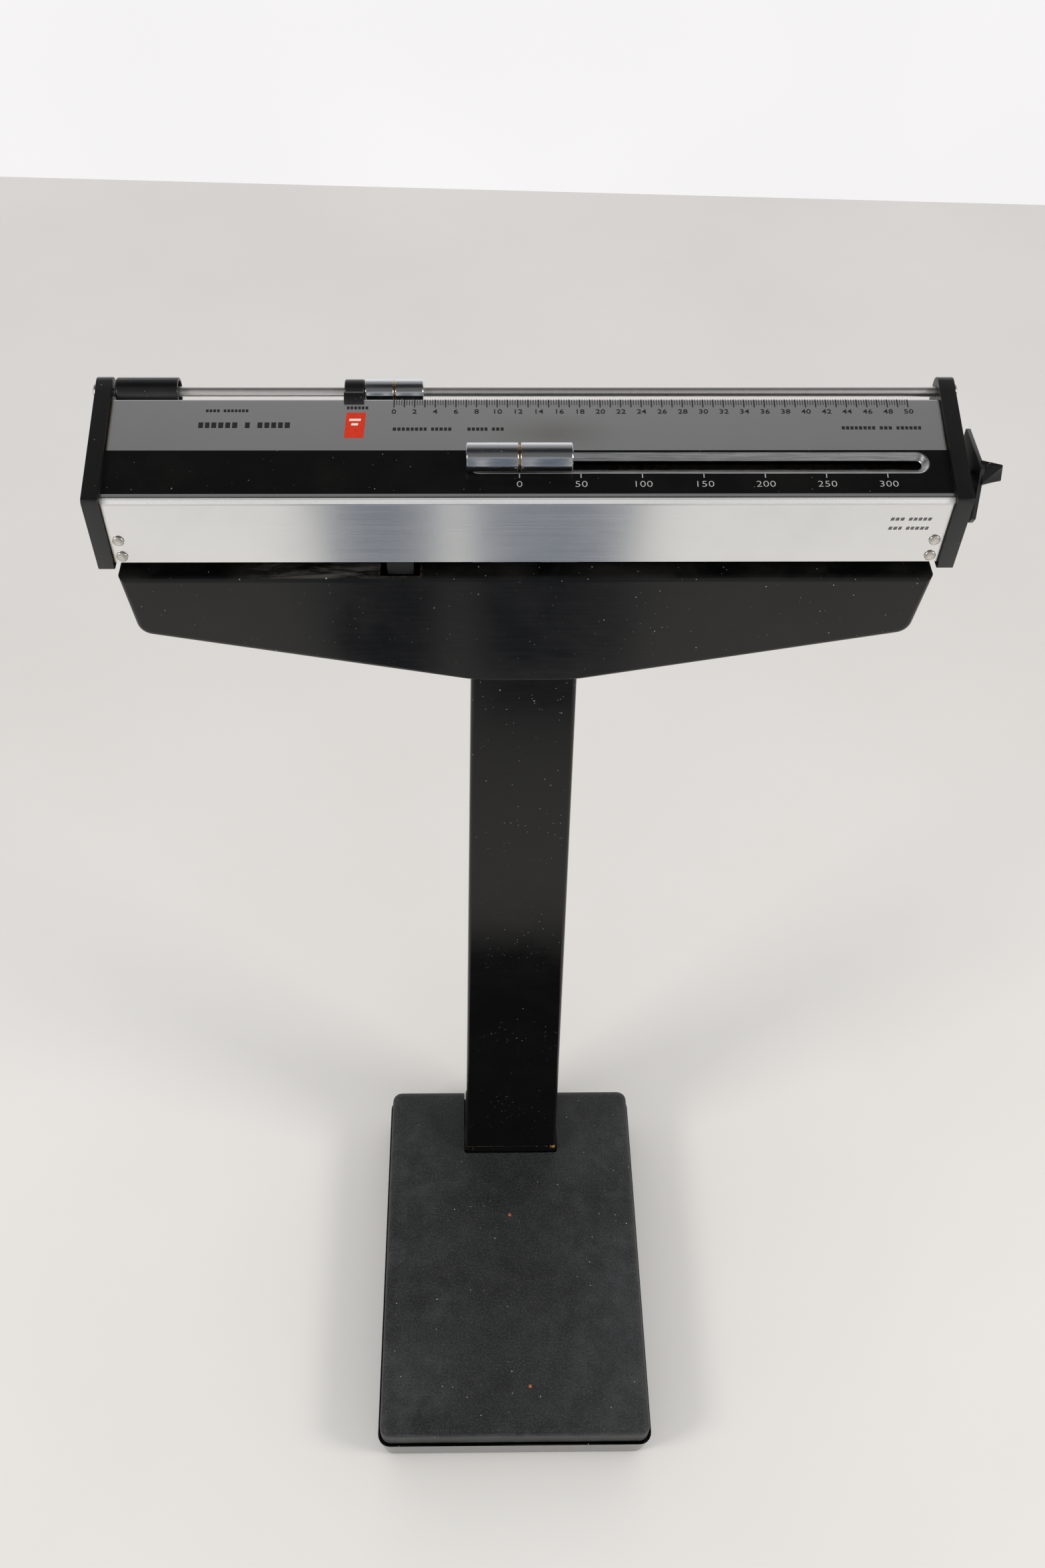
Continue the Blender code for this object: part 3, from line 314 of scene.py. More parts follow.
def tread():
    """Charcoal moulded tread: fine grain, rubbed grey dust, a few orange crumbs."""
    g = Graph("tread_rubber_fine")
    x, y, _ = g.axes()
    broad = g.noise(9.0, 5.0, 0.62, distortion=0.3)
    mottled = g.noise(55.0, 5.0, 0.7)
    grain = g.noise(560.0, 5.0, 0.8)
    strokes = g.noise(1.0, 3.0, 0.6, g.scaled((420, 60, 60)))
    film = g.math("ADD", g.span(broad, 0.38, 0.68, 0.0, 0.55), g.span(mottled, 0.45, 0.72, 0.0, 0.40))
    film = g.math("ADD", film, g.span(strokes, 0.55, 0.75, 0.0, 0.15))
    away = g.math("ABSOLUTE", g.math("SUBTRACT", x, CENTRE_X))
    film = g.math("MULTIPLY", film, g.span(away, 0.02, 0.12, 0.38, 1.0))
    color = g.blend(film, (0.0085, 0.0092, 0.0102), (0.045, 0.048, 0.050))
    color = g.blend(g.span(grain, 0.50, 0.70, 0.0, 0.50), color, (0.092, 0.095, 0.096))
    color = g.blend(g.span(grain, 0.36, 0.48, 0.55, 0.0), color, (0.006, 0.0065, 0.007))
    dust = total(g, [g.specks(120, 0.075, 0.16, 4.0), g.specks(300, 0.16, 0.06, 9.0)])
    color = g.blend(g.math("MULTIPLY", dust, 0.8), color, (0.50, 0.49, 0.45))
    crumbs = total(g, [g.math("MULTIPLY", g.near(x, CENTRE_X + across, 0.0010, 0.0007),
                              g.near(y, tread_low.y + along, 0.0010, 0.0007))
                       for across, along in ((-0.0020, 0.2150), (0.0150, 0.0440))])
    color = g.blend(crumbs, color, (0.42, 0.10, 0.03))
    # The tread's upright and sloping sides are painted paler grey, varied by the mottling: a painted sheen
    # where the surface turns down from the top.
    edge = g.math("MULTIPLY", g.span(g.facing("Z"), 0.30, 0.85, 1.0, 0.0), g.span(mottled, 0.35, 0.65))
    color = g.blend(g.math("MULTIPLY", edge, 0.5), color, (0.085, 0.09, 0.092))
    g.bump(g.math("ADD", grain, g.math("MULTIPLY", mottled, 0.6)), 0.55, 0.00012)
    return g.surface(base_color=color, roughness=g.span(mottled, 0.35, 0.7, 0.50, 0.66))


def moulded_plastic(name, tone, roughness):
    """Satin black plastic with a fine sparked grain, dust specks, and a paler tint painted on what faces
    the front: a painted reflection of the bright floor.
    """
    g = Graph(name)
    grain = g.noise(1500.0, 2.0, 0.6)
    cloud = g.noise(40.0, 4.0, 0.6)
    dust = total(g, [g.specks(300, 0.14, 0.10, 6.0), g.specks(800, 0.2, 0.05, 2.5)])
    # What faces the front is painted paler, varied by the cloud noise: a painted reflection of the bright
    # floor in front.
    front_painted_reflection = g.span(g.facing("Y"), -0.9, -0.5, 0.45, 0.0)
    pale = g.blend(g.math("MULTIPLY", front_painted_reflection, g.span(cloud, 0.3, 0.7, 0.6, 1.0)), (tone, tone, tone),
                   (0.030, 0.031, 0.033))
    color = g.blend(g.math("MULTIPLY", dust, 0.45), pale, (0.25, 0.24, 0.21))
    g.bump(grain, 0.25, 0.00005)
    return g.surface(base_color=color, roughness=g.span(cloud, 0.3, 0.7, roughness, roughness + 0.09),
                     specular_ior_level=0.5)


def plated_chrome():
    """Bright plating with fine pits, greyed in patches where it has tarnished."""
    g = Graph("pitted_chrome")
    pits = total(g, [g.specks(620, 0.26, 0.22), g.specks(1300, 0.34, 0.16, 2.0)])
    patches = g.span(g.noise(70.0, 4.0, 0.65), 0.48, 0.62)
    spotted = g.math("MULTIPLY", pits, patches)
    color = g.blend(g.math("MULTIPLY", spotted, 0.8), (0.72, 0.73, 0.75), (0.30, 0.31, 0.33))
    smear = g.noise(1.0, 3.0, 0.6, g.scaled((60, 500, 500)))
    g.bump(g.math("SUBTRACT", 1.0, spotted), 0.5, 0.00008)
    return g.surface(base_color=color, metallic=1.0, roughness=g.span(smear, 0.35, 0.7, 0.13, 0.24))


def tarnished_groove():
    """Brown-tinted bright metal at the bottom of the index grooves."""
    g = Graph("tarnished_groove")
    tint = g.span(g.noise(400.0, 3.0), 0.3, 0.7)
    color = g.blend(tint, (0.42, 0.27, 0.14), (0.75, 0.66, 0.52))
    return g.surface(base_color=color, metallic=1.0, roughness=0.22)


def satin_steel():
    """Ground steel bar: fine rings round it, a soft long highlight and small nicks."""
    tone, roughness = 0.82, 0.36
    g = Graph("satin_steel")
    rings = g.noise(1.0, 2.0, 0.5, g.scaled((1600, 60, 60)))
    long_lines = g.noise(1.0, 3.0, 0.6, g.scaled((6, 900, 900)))
    nick = g.specks(420, 0.2, 0.05)
    warm = g.blend(g.span(long_lines, 0.35, 0.7), (tone, tone * 0.97, tone * 0.95),
                   (tone * 1.12, tone * 1.1, tone * 1.08))
    color = g.blend(g.math("MULTIPLY", nick, 0.5), warm, (0.8, 0.8, 0.78))
    g.bump(g.math("ADD", rings, g.math("MULTIPLY", long_lines, 0.5)), 0.12, 0.00001)
    return g.surface(base_color=color, metallic=1.0, roughness=g.span(rings, 0.3, 0.7, roughness,
                                                                      roughness + 0.06))


def slot_metal():
    """Burnished aluminium of the slot's cradle: bright rubbed streaks and dark nicks."""
    g = Graph("slot_metal")
    streaks = g.noise(1.0, 4.0, 0.7, g.scaled((45, 1700, 1700)))
    scale = g.noise(300.0, 4.0, 0.7)
    color = g.blend(g.span(streaks, 0.35, 0.65), (0.50, 0.50, 0.51), (0.86, 0.86, 0.86))
    color = g.blend(g.span(scale, 0.66, 0.74, 0.0, 0.6), color, (0.25, 0.25, 0.25))
    g.bump(streaks, 0.35, 0.00005)
    g.brushed_along_x(0.4)
    return g.surface(base_color=color, metallic=1.0, roughness=g.span(streaks, 0.3, 0.7, 0.28, 0.42))


def plain_steel():
    """Mill steel of the hidden bars and knives, with oxide patches."""
    g = Graph("plain_steel")
    patches = g.noise(90.0, 4.0, 0.65)
    grain = g.noise(1.0, 3.0, 0.6, g.scaled((70, 900, 900)))
    color = g.blend(g.span(patches, 0.45, 0.7), (0.36, 0.35, 0.34), (0.20, 0.15, 0.11))
    g.bump(grain, 0.3, 0.00005)
    return g.surface(base_color=color, metallic=1.0, roughness=g.span(patches, 0.3, 0.7, 0.32, 0.5))


def cast_iron():
    """Dark cast iron: pebbled skin and faint rust in the hollows."""
    g = Graph("dark_casting")
    skin = g.noise(700.0, 4.0, 0.65)
    broad = g.noise(60.0, 3.0)
    color = g.blend(g.span(broad, 0.5, 0.72, 0.0, 0.6), (0.055, 0.055, 0.057), (0.11, 0.06, 0.035))
    g.bump(skin, 0.7, 0.0003)
    return g.surface(base_color=color, metallic=0.55, roughness=0.58)


def foot_rubber():
    """Matte black rubber with scuffed grain."""
    g = Graph("foot_rubber_fine")
    grain = g.noise(900.0, 3.0, 0.6)
    g.bump(grain, 0.4, 0.0001)
    color = g.blend(g.span(grain, 0.4, 0.7), (0.016, 0.016, 0.016), (0.04, 0.038, 0.035))
    return g.surface(base_color=color, roughness=0.8)


def satin_rivet():
    """Nickelled rivet heads, faintly yellowed, with die marks."""
    g = Graph("satin_rivet")
    marks = g.noise(1500.0, 3.0, 0.6)
    broad = g.noise(300.0, 2.0)
    color = g.blend(g.span(broad, 0.35, 0.65), (0.78, 0.75, 0.70), (0.60, 0.56, 0.50))
    g.bump(marks, 0.4, 0.00006)
    return g.surface(base_color=color, metallic=1.0, roughness=g.span(marks, 0.3, 0.7, 0.32, 0.46))


def label_red():
    """The small printed label beside the scale."""
    g = Graph("label_red")
    tone = g.noise(500.0, 3.0)
    color = g.blend(g.span(tone, 0.35, 0.65), (0.54, 0.026, 0.007), (0.62, 0.036, 0.010))
    return g.surface(base_color=color, roughness=0.5, specular_ior_level=0.2)


def hood_wear(g, color, haze):
    """Rubbed dust left of the tab's notch and brown bare metal round the notch."""
    x, y, _ = g.axes()
    rim_low, rim_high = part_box("beam_stop_tab")
    middle = (rim_low.x + rim_high.x) / 2
    top = g.span(g.facing("Z"), 0.6, 0.95)
    around = g.near(x, middle, NOTCH_HALF + 0.0010, 0.0008)
    front = g.near(y, hood_low.y + NOTCH_FRONT - 0.0006, 0.0006, 0.0005)
    sides = g.math("MULTIPLY", g.math("SUBTRACT", around, g.near(x, middle, NOTCH_HALF, 0.0003)),
                   g.math("GREATER_THAN", y, hood_low.y + NOTCH_FRONT - 0.001))
    ring = g.math("MULTIPLY", total(g, [sides, g.math("MULTIPLY", front, around)]), top)
    smear_x = g.near(x, middle - 0.048, 0.030, 0.022)
    wisps = g.span(g.noise(1.0, 5.0, 0.65, g.scaled((26, 150, 150)), 0.6), 0.42, 0.70)
    smear = g.math("MULTIPLY", g.math("MULTIPLY", smear_x, wisps), top)
    color = g.blend(g.math("MULTIPLY", smear, 0.75), color, (0.13, 0.12, 0.105))
    broken = g.span(g.noise(260.0, 4.0, 0.7), 0.42, 0.62, 0.0, 0.45)
    return g.blend(g.math("MULTIPLY", ring, broken), color, (0.065, 0.040, 0.022))


# ---------------------------------------------------------------- mesh helpers
def shown(name, bm, material, body, replaces=(), smooth=35):
    """Make a bmesh a finished piece riding on body."""
    bmesh.ops.recalc_face_normals(bm, faces=bm.faces[:])
    mesh = bpy.data.meshes.new(name)
    bm.to_mesh(mesh)
    bm.free()
    mesh.materials.append(material)
    mesh.shade_smooth()
    mesh.set_sharp_from_angle(angle=math.radians(smooth))
    piece = bpy.data.objects.new(name, mesh)
    bpy.context.scene.collection.objects.link(piece)
    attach(piece, body)
    if replaces:
        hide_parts(*replaces)
    return piece


def skin(loops, closed_ring=False):
    """Skin equal-length point loops; a closed ring joins the last loop to the first."""
    bm = bmesh.new()
    rings = [[bm.verts.new(p) for p in loop] for loop in loops]
    pairs = list(zip(rings, rings[1:]))
    if closed_ring:
        pairs.append((rings[-1], rings[0]))
    for low, high in pairs:
        for i in range(len(low)):
            j = (i + 1) % len(low)
            bm.faces.new((low[i], low[j], high[j], high[i]))
    if not closed_ring:
        bm.faces.new(list(reversed(rings[0])))
        bm.faces.new(rings[-1])
    return bm


def lathe(profile, at, steps, closed_ring=False):
    """Turn (x, radius) points about the X axis through at."""
    loops = []
    for x, radius in profile:
        turn = [2 * math.pi * k / steps for k in range(steps)]
        loops.append([(x, at.y + radius * math.cos(a), at.z + radius * math.sin(a)) for a in turn])
    return skin(loops, closed_ring)


def fillet(points, radius, steps):
    """Round the inner corners of an open (x, radius) profile."""
    out = [points[0]]
    for i in range(1, len(points) - 1):
        here, back, ahead = (Vector(points[k]) for k in (i, i - 1, i + 1))
        one, two = back - here, ahead - here
        cut = min(radius, one.length * 0.45, two.length * 0.45)
        start, end = here + one.normalized() * cut, here + two.normalized() * cut
        for k in range(steps + 1):
            t = k / steps
            out.append(tuple((1 - t) ** 2 * start + 2 * t * (1 - t) * here + t * t * end))
    out.append(points[-1])
    return out


def bevelled(name, node, material, body, width):
    """A finer copy of a CAD node with its hard edges rounded; it replaces the node."""
    hard = math.radians(28)
    bm = bmesh.new()
    bm.from_mesh(NODES[node].data)
    bmesh.ops.remove_doubles(bm, verts=bm.verts[:], dist=0.00001)
    bmesh.ops.dissolve_limit(bm, angle_limit=math.radians(1.0), verts=bm.verts[:], edges=bm.edges[:])
    sharp = [e for e in bm.edges if e.is_manifold and e.calc_face_angle(0) > hard]
    bmesh.ops.bevel(bm, geom=sharp, offset=width, segments=3, profile=0.6, affect="EDGES",
                    clamp_overlap=True)
    return shown(name, bm, material, body, (node,), smooth=50)


def flat_on_face(outlines, low, high):
    """Thin slabs on the sloping face from (x, s) outlines, between two heights."""
    bm = bmesh.new()
    for outline in outlines:
        rings = [[bm.verts.new(face_point(x, s, h)) for x, s in outline] for h in (low, high)]
        count = len(outline)
        for i in range(count):
            j = (i + 1) % count
            bm.faces.new((rings[0][i], rings[0][j], rings[1][j], rings[1][i]))
        bm.faces.new(list(reversed(rings[0])))
        bm.faces.new(rings[1])
    return bm


def bar(x, s, width, length):
    """A rectangle outline: centred on x, from s downwards by length."""
    return [(x - width / 2, s - length), (x + width / 2, s - length), (x + width / 2, s),
            (x - width / 2, s)]


def digits(texts, height, stretch, weight):
    """Solid digits on the sloping face; texts is a list of (text, x, s)."""
    bm = bmesh.new()
    for text, x, s in texts:
        curve = bpy.data.curves.new("digits", "FONT")
        curve.body, curve.size = text, height / 0.73
        curve.align_x, curve.align_y = "CENTER", "CENTER"
        curve.extrude, curve.offset = INK / 2, weight
        curve.resolution_u = 6
        curve.space_character = 1.04
        writer = bpy.data.objects.new("digits", curve)
        bpy.context.scene.collection.objects.link(writer)
        bpy.context.view_layer.update()
        mesh = bpy.data.meshes.new_from_object(writer.evaluated_get(bpy.context.evaluated_depsgraph_get()))
        place = FACE_FRAME @ Matrix.Translation((x, s, INK * 1.5))
        mesh.transform(place @ Matrix.Diagonal((stretch, 1, 1, 1)))
        bm.from_mesh(mesh)
        bpy.data.objects.remove(writer)
        bpy.data.meshes.remove(mesh)
    return bm


# ---------------------------------------------------------------- the finishes, made once
FACE = brushed_face()
BAND = black_ink()
BLACK_INK = plain_ink("print_black", (0.012, 0.012, 0.012), 0.25)
DARK_INK = plain_ink("print_dark_grey", (0.10, 0.10, 0.105), 0.2)
GREY_INK = plain_ink("print_grey", (0.42, 0.42, 0.42), 0.35)
WHITE_INK = plain_ink("print_white", (0.80, 0.74, 0.68), 0.15)
RED = label_red()
CHROME = plated_chrome()
GROOVE = tarnished_groove()
ROD_STEEL = satin_steel()
RIVET = satin_rivet()
SLOT_METAL = slot_metal()
PLASTIC = moulded_plastic("cap_plastic", 0.006, 0.26)
GLOSS_PLASTIC = moulded_plastic("sleeve_plastic", 0.005, 0.17)
HOOD_PAINT = enamel("hood_enamel", 0.35, hood_wear)
COLUMN_PAINT = enamel("column_enamel", 0.15, column_wear, 0.24)
BASE_PAINT = enamel("base_enamel", 0.30, base_wear)
SKIRT_PAINT = enamel("skirt_enamel", 0.10, skirt_wear)
TREAD = tread()
STEEL = plain_steel()
IRON = cast_iron()
RUBBER = foot_rubber()


# ---------------------------------------------------------------- the face and its print
def slot_outline(half, steps=24):
    """The slot's round-ended outline at half width half, from the CAD surround's box."""
    low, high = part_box("slot_surround")
    full = 0.0078
    left, right = low.x - CENTRE_X + full, high.x - CENTRE_X - full
    points = []
    for centre, start in ((right, -90), (left, 90)):
        for k in range(steps + 1):
            angle = math.radians(start + 180 * k / steps)
            points.append((centre + half * math.cos(angle), SLOT_AT + half * math.sin(angle)))
    return points


def build_band():
    """The printed band with the slot's opening in it."""
    edge = PANEL_HALF - 0.0002
    outer = slot_outline(0.0081)
    corners = [(edge, BAND_LOW), (edge, BAND_HIGH), (-edge, BAND_HIGH), (-edge, BAND_LOW)]
    bm = bmesh.new()
    levels = []
    for h in (INK * 0.2, INK):
        hole = [bm.verts.new(face_point(x, s, h)) for x, s in outer]
        rim = [bm.verts.new(face_point(x, s, h)) for x, s in corners]
        levels.append((hole, rim))
    for hole, rim in levels:
        half = len(hole) // 2
        right, left = hole[:half], hole[half:]
        bm.faces.new([rim[0]] + right + [rim[1]])
        bm.faces.new([rim[2]] + left + [rim[3]])
        bm.faces.new([rim[1], right[-1], left[0], rim[2]])
        bm.faces.new([rim[3], left[-1], right[0], rim[0]])
    for one, two in zip(levels[0], levels[1]):
        for i in range(len(one)):
            j = (i + 1) % len(one)
            bm.faces.new((one[i], one[j], two[j], two[i]))
    shown("printed_band", bm, BAND, "beam")


def word_blocks(chance, x, s, height, counts, wide=1.0):
    """Plain blocks where the original has words: one block a letter, no lettering."""
    out = []
    for letters in counts:
        for _ in range(letters):
            width = height * wide * chance.uniform(1.02, 1.20)
            out.append(bar(x + width / 2, s + height / 2, width * 0.72, height))
            x += width
        x += height * 0.85
    return out


def build_print():
    """Graduations, numbers and the plain label."""
    ticks = []
    top = FACE_LENGTH - 0.0012
    for quarter in range(4 * SMALL_POUNDS + 1):
        x = SMALL_ZERO + SMALL_POUND * quarter / 4
        major = quarter % 4 == 0
        ticks.append(bar(x, top, 0.00078 if major else 0.00042, 0.0060 if major else 0.0044))
    shown("small_scale_ticks", flat_on_face(ticks, INK * 0.2, INK), BLACK_INK, "beam")
    numbers = [(str(n), SMALL_ZERO + SMALL_POUND * n, 0.0664) for n in range(0, SMALL_POUNDS + 1, 2)]
    shown("small_scale_numbers", digits(numbers, 0.0034, 1.28, 0.00005), BLACK_INK, "beam")
    ticks = [bar(LARGE_ZERO + LARGE_FIFTY * k, 0.0197, 0.00052, 0.0030) for k in range(LARGE_STEPS + 1)]
    shown("large_scale_ticks", flat_on_face(ticks, INK * 1.1, INK * 2), GREY_INK, "beam")
    numbers = [(str(50 * k), LARGE_ZERO + LARGE_FIFTY * k, 0.0120) for k in range(LARGE_STEPS + 1)]
    shown("large_scale_numbers", digits(numbers, 0.0045, 1.28, -0.00009), GREY_INK, "beam")
    label = [(-0.1120, 0.0466), (-0.1000, 0.0466), (-0.0990, 0.0657), (-0.1110, 0.0657)]
    shown("face_label", flat_on_face([label], INK * 0.2, INK), RED, "beam")
    words = random.Random(7)
    lines = []
    for x, s, height, counts in ((-0.1975, 0.0672, 0.0021, (4, 7)), (-0.1112, 0.0694, 0.0021, (6,)),
                                 (-0.0828, 0.0532, 0.0024, (8, 5)), (-0.0372, 0.0532, 0.0024, (5, 3)),
                                 (0.1924, 0.0540, 0.0024, (8, 3, 6))):
        lines += word_blocks(words, x, s, height, counts)
    lines += word_blocks(words, -0.2016, 0.0562, 0.0042, (6, 1, 5), 0.88)
    shown("printed_word_blocks", flat_on_face(lines, INK * 0.2, INK), BLACK_INK, "beam")
    mark = [[(x, low), (x + wide, low), (x + wide + 0.0003, low + 0.0016), (x + 0.0003, low + 0.0016)]
            for x, low, wide in ((-0.1092, 0.0594, 0.0070), (-0.1080, 0.0560, 0.0042))]
    shown("face_label_mark", flat_on_face(mark, INK * 1.1, INK * 1.8), WHITE_INK, "beam")


def build_front_print():
    """Two short rows of plain blocks near the right end of the front face."""
    words, slant = random.Random(11), 0.2
    bm = bmesh.new()
    for x, z, counts in ((0.2192, 0.9082, (3, 5)), (0.2192, 0.9012, (3, 5))):
        for outline in word_blocks(words, x, 0.0, 0.0023, counts, 1.15):
            rings = []
            for depth in (-INK, INK):
                y = panel_low.y - depth
                rings.append([bm.verts.new((CENTRE_X + u + v * slant, y, z + v)) for u, v in outline])
            for i in range(4):
                j = (i + 1) % 4
                bm.faces.new((rings[0][i], rings[0][j], rings[1][j], rings[1][i]))
            bm.faces.new(list(reversed(rings[0])))
            bm.faces.new(rings[1])
    shown("printed_front_blocks", bm, DARK_INK, "beam")


def build_slot():
    """The slot's metal cradle with rolled edges, finer than the CAD one."""
    profile = [(0.00780, -0.0010), (0.00782, 0.00012), (0.00772, 0.00022), (0.00745, 0.00018),
               (0.0070, -0.0002), (0.0060, -0.0010), (0.0050, -0.0018), (0.0042, -0.00235),
               (0.0038, -0.00262), (0.0037, -0.0029), (0.0038, -0.00345), (0.0043, -0.0036),
               (0.0051, -0.0033), (0.0066, -0.0019)]
    loops = [[face_point(x, s, h) for x, s in slot_outline(half, 28)] for half, h in profile]
    shown("slot_cradle", skin(loops, True), SLOT_METAL, "beam", ("slot_surround",), 50)


def build_rivets():
    """Domed rivet heads in the places of the CAD ones."""
    for node in sorted(n for n in NODES if n.startswith("rivet_")):
        low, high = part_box(node)
        middle = (low + high) / 2
        radius, front, back = (high.x - low.x) / 2, low.y, high.y
        rise = back - front
        profile = [(back, radius * 0.98), (back - rise * 0.30, radius)]
        for k in range(1, 9):
            turn = math.radians(90 * k / 8)
            profile.append((back - rise * (0.30 + 0.70 * math.sin(turn)), radius * math.cos(turn) + 1e-5))
        loops = []
        for y, r in profile:
            loops.append([(middle.x + r * math.cos(math.radians(9 * k)), y,
                           middle.z + r * math.sin(math.radians(9 * k))) for k in range(40)])
        shown(node + "_head", skin(loops), RIVET, "beam", (node,), 60)


# ---------------------------------------------------------------- rod, poises and other turned pieces
def build_rod():
    """The ground rod with its eased ends, and the domed button at each end."""
    low, high, radius, ease = rod_low.x, rod_high.x, ROD_R, 0.0004
    profile = [(low, radius - ease), (low + ease, radius), (high - ease, radius), (high, radius - ease)]
    shown("ground_rod", lathe(profile, ROD_AT, 96), ROD_STEEL, "beam", ("poise_rod",))
    for side in ("left", "right"):
        node = "rod_button_" + side
        b_low, b_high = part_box(node)
        sign = 1 if side == "right" else -1
        start = b_low.x if sign > 0 else b_high.x
        radius, length = (b_high.z - b_low.z) / 2, b_high.x - b_low.x
        dome = [(0, radius * 0.96), (0.06, radius), (0.30, radius)]
        dome += [(0.30 + 0.70 * math.sin(math.radians(a)), radius * math.cos(math.radians(a)) + 2e-5)
                 for a in range(10, 91, 10)]
        profile = [(start + sign * t * length, r) for t, r in dome]
        shown(node + "_cap", lathe(profile, ROD_AT, 64), RIVET, "beam", (node,), 60)


def poise_material_slots(piece, zero, reach):
    """Give the index groove's faces the tarnished finish."""
    piece.data.materials.append(GROOVE)
    for face in piece.data.polygons:
        if abs(face.center.x - zero) < reach:
            face.material_index = 1


def build_small_poise():
    """The short poise: a bright ring on the rod with an index groove at its middle."""
    low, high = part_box("small_poise")
    radius, bore, zero = (high.z - low.z) / 2, ROD_R + BORE_GAP, CENTRE_X + SMALL_ZERO
    outer = [(low.x, bore), (low.x, radius - 0.0005), (low.x + 0.0005, radius), (zero - 0.0008, radius),
             (zero - 0.0003, radius - 0.0011), (zero + 0.0003, radius - 0.0011), (zero + 0.0008, radius),
             (high.x - 0.0005, radius), (high.x, radius - 0.0005), (high.x, bore)]
    bm = lathe(fillet(outer, 0.0002, 3), ROD_AT, 128, True)
    piece = shown("chrome_small_poise", bm, CHROME, "small_poise", ("small_poise",), 30)
    poise_material_slots(piece, zero, 0.0007)


def build_large_poise():
    """The long poise: a bright cylinder with a flat underside over the slot."""
    zero, radius, length, lift, flat = CENTRE_X + LARGE_ZERO, 0.0087, 0.0642, 0.0057, 0.0004
    left, right = zero - length / 2, zero + length / 2
    outer = [(left, radius - 0.0016), (left + 0.0001, radius - 0.0007), (left + 0.0007, radius),
             (zero - 0.0009, radius), (zero - 0.0003, radius - 0.0013), (zero + 0.0003, radius - 0.0013),
             (zero + 0.0009, radius), (right - 0.0007, radius), (right - 0.0001, radius - 0.0007),
             (right, radius - 0.0016)]
    profile = fillet(outer, 0.00025, 3)
    half_turn = math.acos((lift - flat) / radius)
    start, sweep, steps = -math.pi / 2 + half_turn, 2 * math.pi - 2 * half_turn, 120
    loops = []
    for x, r in profile:
        loop = []
        for k in range(steps + 1):
            angle = start + sweep * k / steps
            s, h = r * math.cos(angle), max(lift + r * math.sin(angle), flat)
            loop.append(face_point(x - CENTRE_X, SLOT_AT + s, h))
        loops.append(loop)
    piece = shown("chrome_large_poise", skin(loops), CHROME, "large_poise", ("large_poise",), 30)
    poise_material_slots(piece, zero, 0.0008)


def build_sleeve():
    """The balance sleeve, turned from black plastic, with its open right end."""
    low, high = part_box("zero_balance_sleeve")
    radius, bore = (high.z - low.z) / 2, ROD_R + BORE_GAP
    outer = [(low.x, bore), (low.x, radius - 0.0008), (low.x + 0.0008, radius), (high.x - 0.0003, radius),
             (high.x, radius - 0.0004), (high.x, radius - 0.0018), (high.x - 0.0060, radius - 0.0022),
             (high.x - 0.0060, bore)]
    shown("balance_sleeve", lathe(fillet(outer, 0.0003, 3), ROD_AT, 96, True), GLOSS_PLASTIC,
          "zero_balance", ("zero_balance_sleeve",), 40)


def build_collar():
    """The fixed stop on the rod, with the lip that hooks over the panel's top edge."""
    low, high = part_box("zero_stop_collar")
    radius, bore = (high.z - low.z) / 2, ROD_R + BORE_GAP
    outer = [(low.x, bore), (low.x, radius - 0.0006), (low.x + 0.0006, radius), (high.x - 0.0006, radius),
             (high.x, radius - 0.0006), (high.x, bore)]
    shown("stop_collar", lathe(fillet(outer, 0.0003, 3), ROD_AT, 96, True), PLASTIC, "beam",
          ("zero_stop_collar",), 40)
    left, right = low.x - CENTRE_X, high.x - CENTRE_X
    section = [(FACE_LENGTH - 0.0044, 0.0001), (FACE_LENGTH - 0.0042, 0.0012),
               (FACE_LENGTH - 0.0026, 0.0026), (FACE_LENGTH + 0.0010, 0.0034),
               (FACE_LENGTH + 0.0026, 0.0028), (FACE_LENGTH + 0.0022, 0.0006),
               (FACE_LENGTH + 0.0008, 0.0001)]
    loops = [[face_point(x, s, h) for s, h in section] for x in (left, right)]
    shown("stop_collar_lip", skin(loops), PLASTIC, "beam", (), 30)


# ---------------------------------------------------------------- caps, knob, column skirt
def column_outline(z, grow):
    """The column's rounded section at height z, grown outwards."""
    t = (z - column_low.z) / (column_high.z - column_low.z)
    half = (1 - t) * (column_high.x - CENTRE_X) + t * COLUMN_TOP_HALF + grow
    front = column_low.y + t * COLUMN_LEAN - grow
    back = column_high.y + grow - t * 0.0022
    corner, points = 0.0028 + grow, []
    for cx, cy, start in ((half - corner, back - corner, 0), (-half + corner, back - corner, 90),
                          (-half + corner, front + corner, 180), (half - corner, front + corner, 270)):
        for k in range(9):
            angle = math.radians(start + 90 * k / 8)
            points.append((CENTRE_X + cx + corner * math.cos(angle), cy + corner * math.sin(angle), z))
    return points


def build_skirt():
    """The folded collar where the column enters the platform, rubbed bare along its top edge."""
    top = tread_high.z + SKIRT_RISE
    inner = column_outline(top - 0.0010, 0.0001)
    loops = [column_outline(top - 0.020, 0.0001), column_outline(top - 0.020, 0.0009),
             column_outline(top - 0.0012, 0.0009), column_outline(top - 0.0004, 0.0007),
             column_outline(top, 0.0003), inner]
    shown("column_skirt", skin(loops, True), SKIRT_PAINT, "stand", (), 50)


def build_moulded():
    """The end caps and the lock knob, with softer edges than the CAD ones."""
    for side in ("left", "right"):
        bevelled("end_cap_%s_moulding" % side, "end_cap_" + side, PLASTIC, "beam", 0.0007)
    bevelled("lock_knob_moulding", "lock_knob", PLASTIC, "beam_lock", 0.0004)


def refine(node, finish):
    """Give a CAD node that stays its own detailed finish."""
    mesh = NODES[node].data
    mesh.materials.clear()
    mesh.materials.append(finish)
    mesh.polygons.foreach_set("material_index", [0] * len(mesh.polygons))


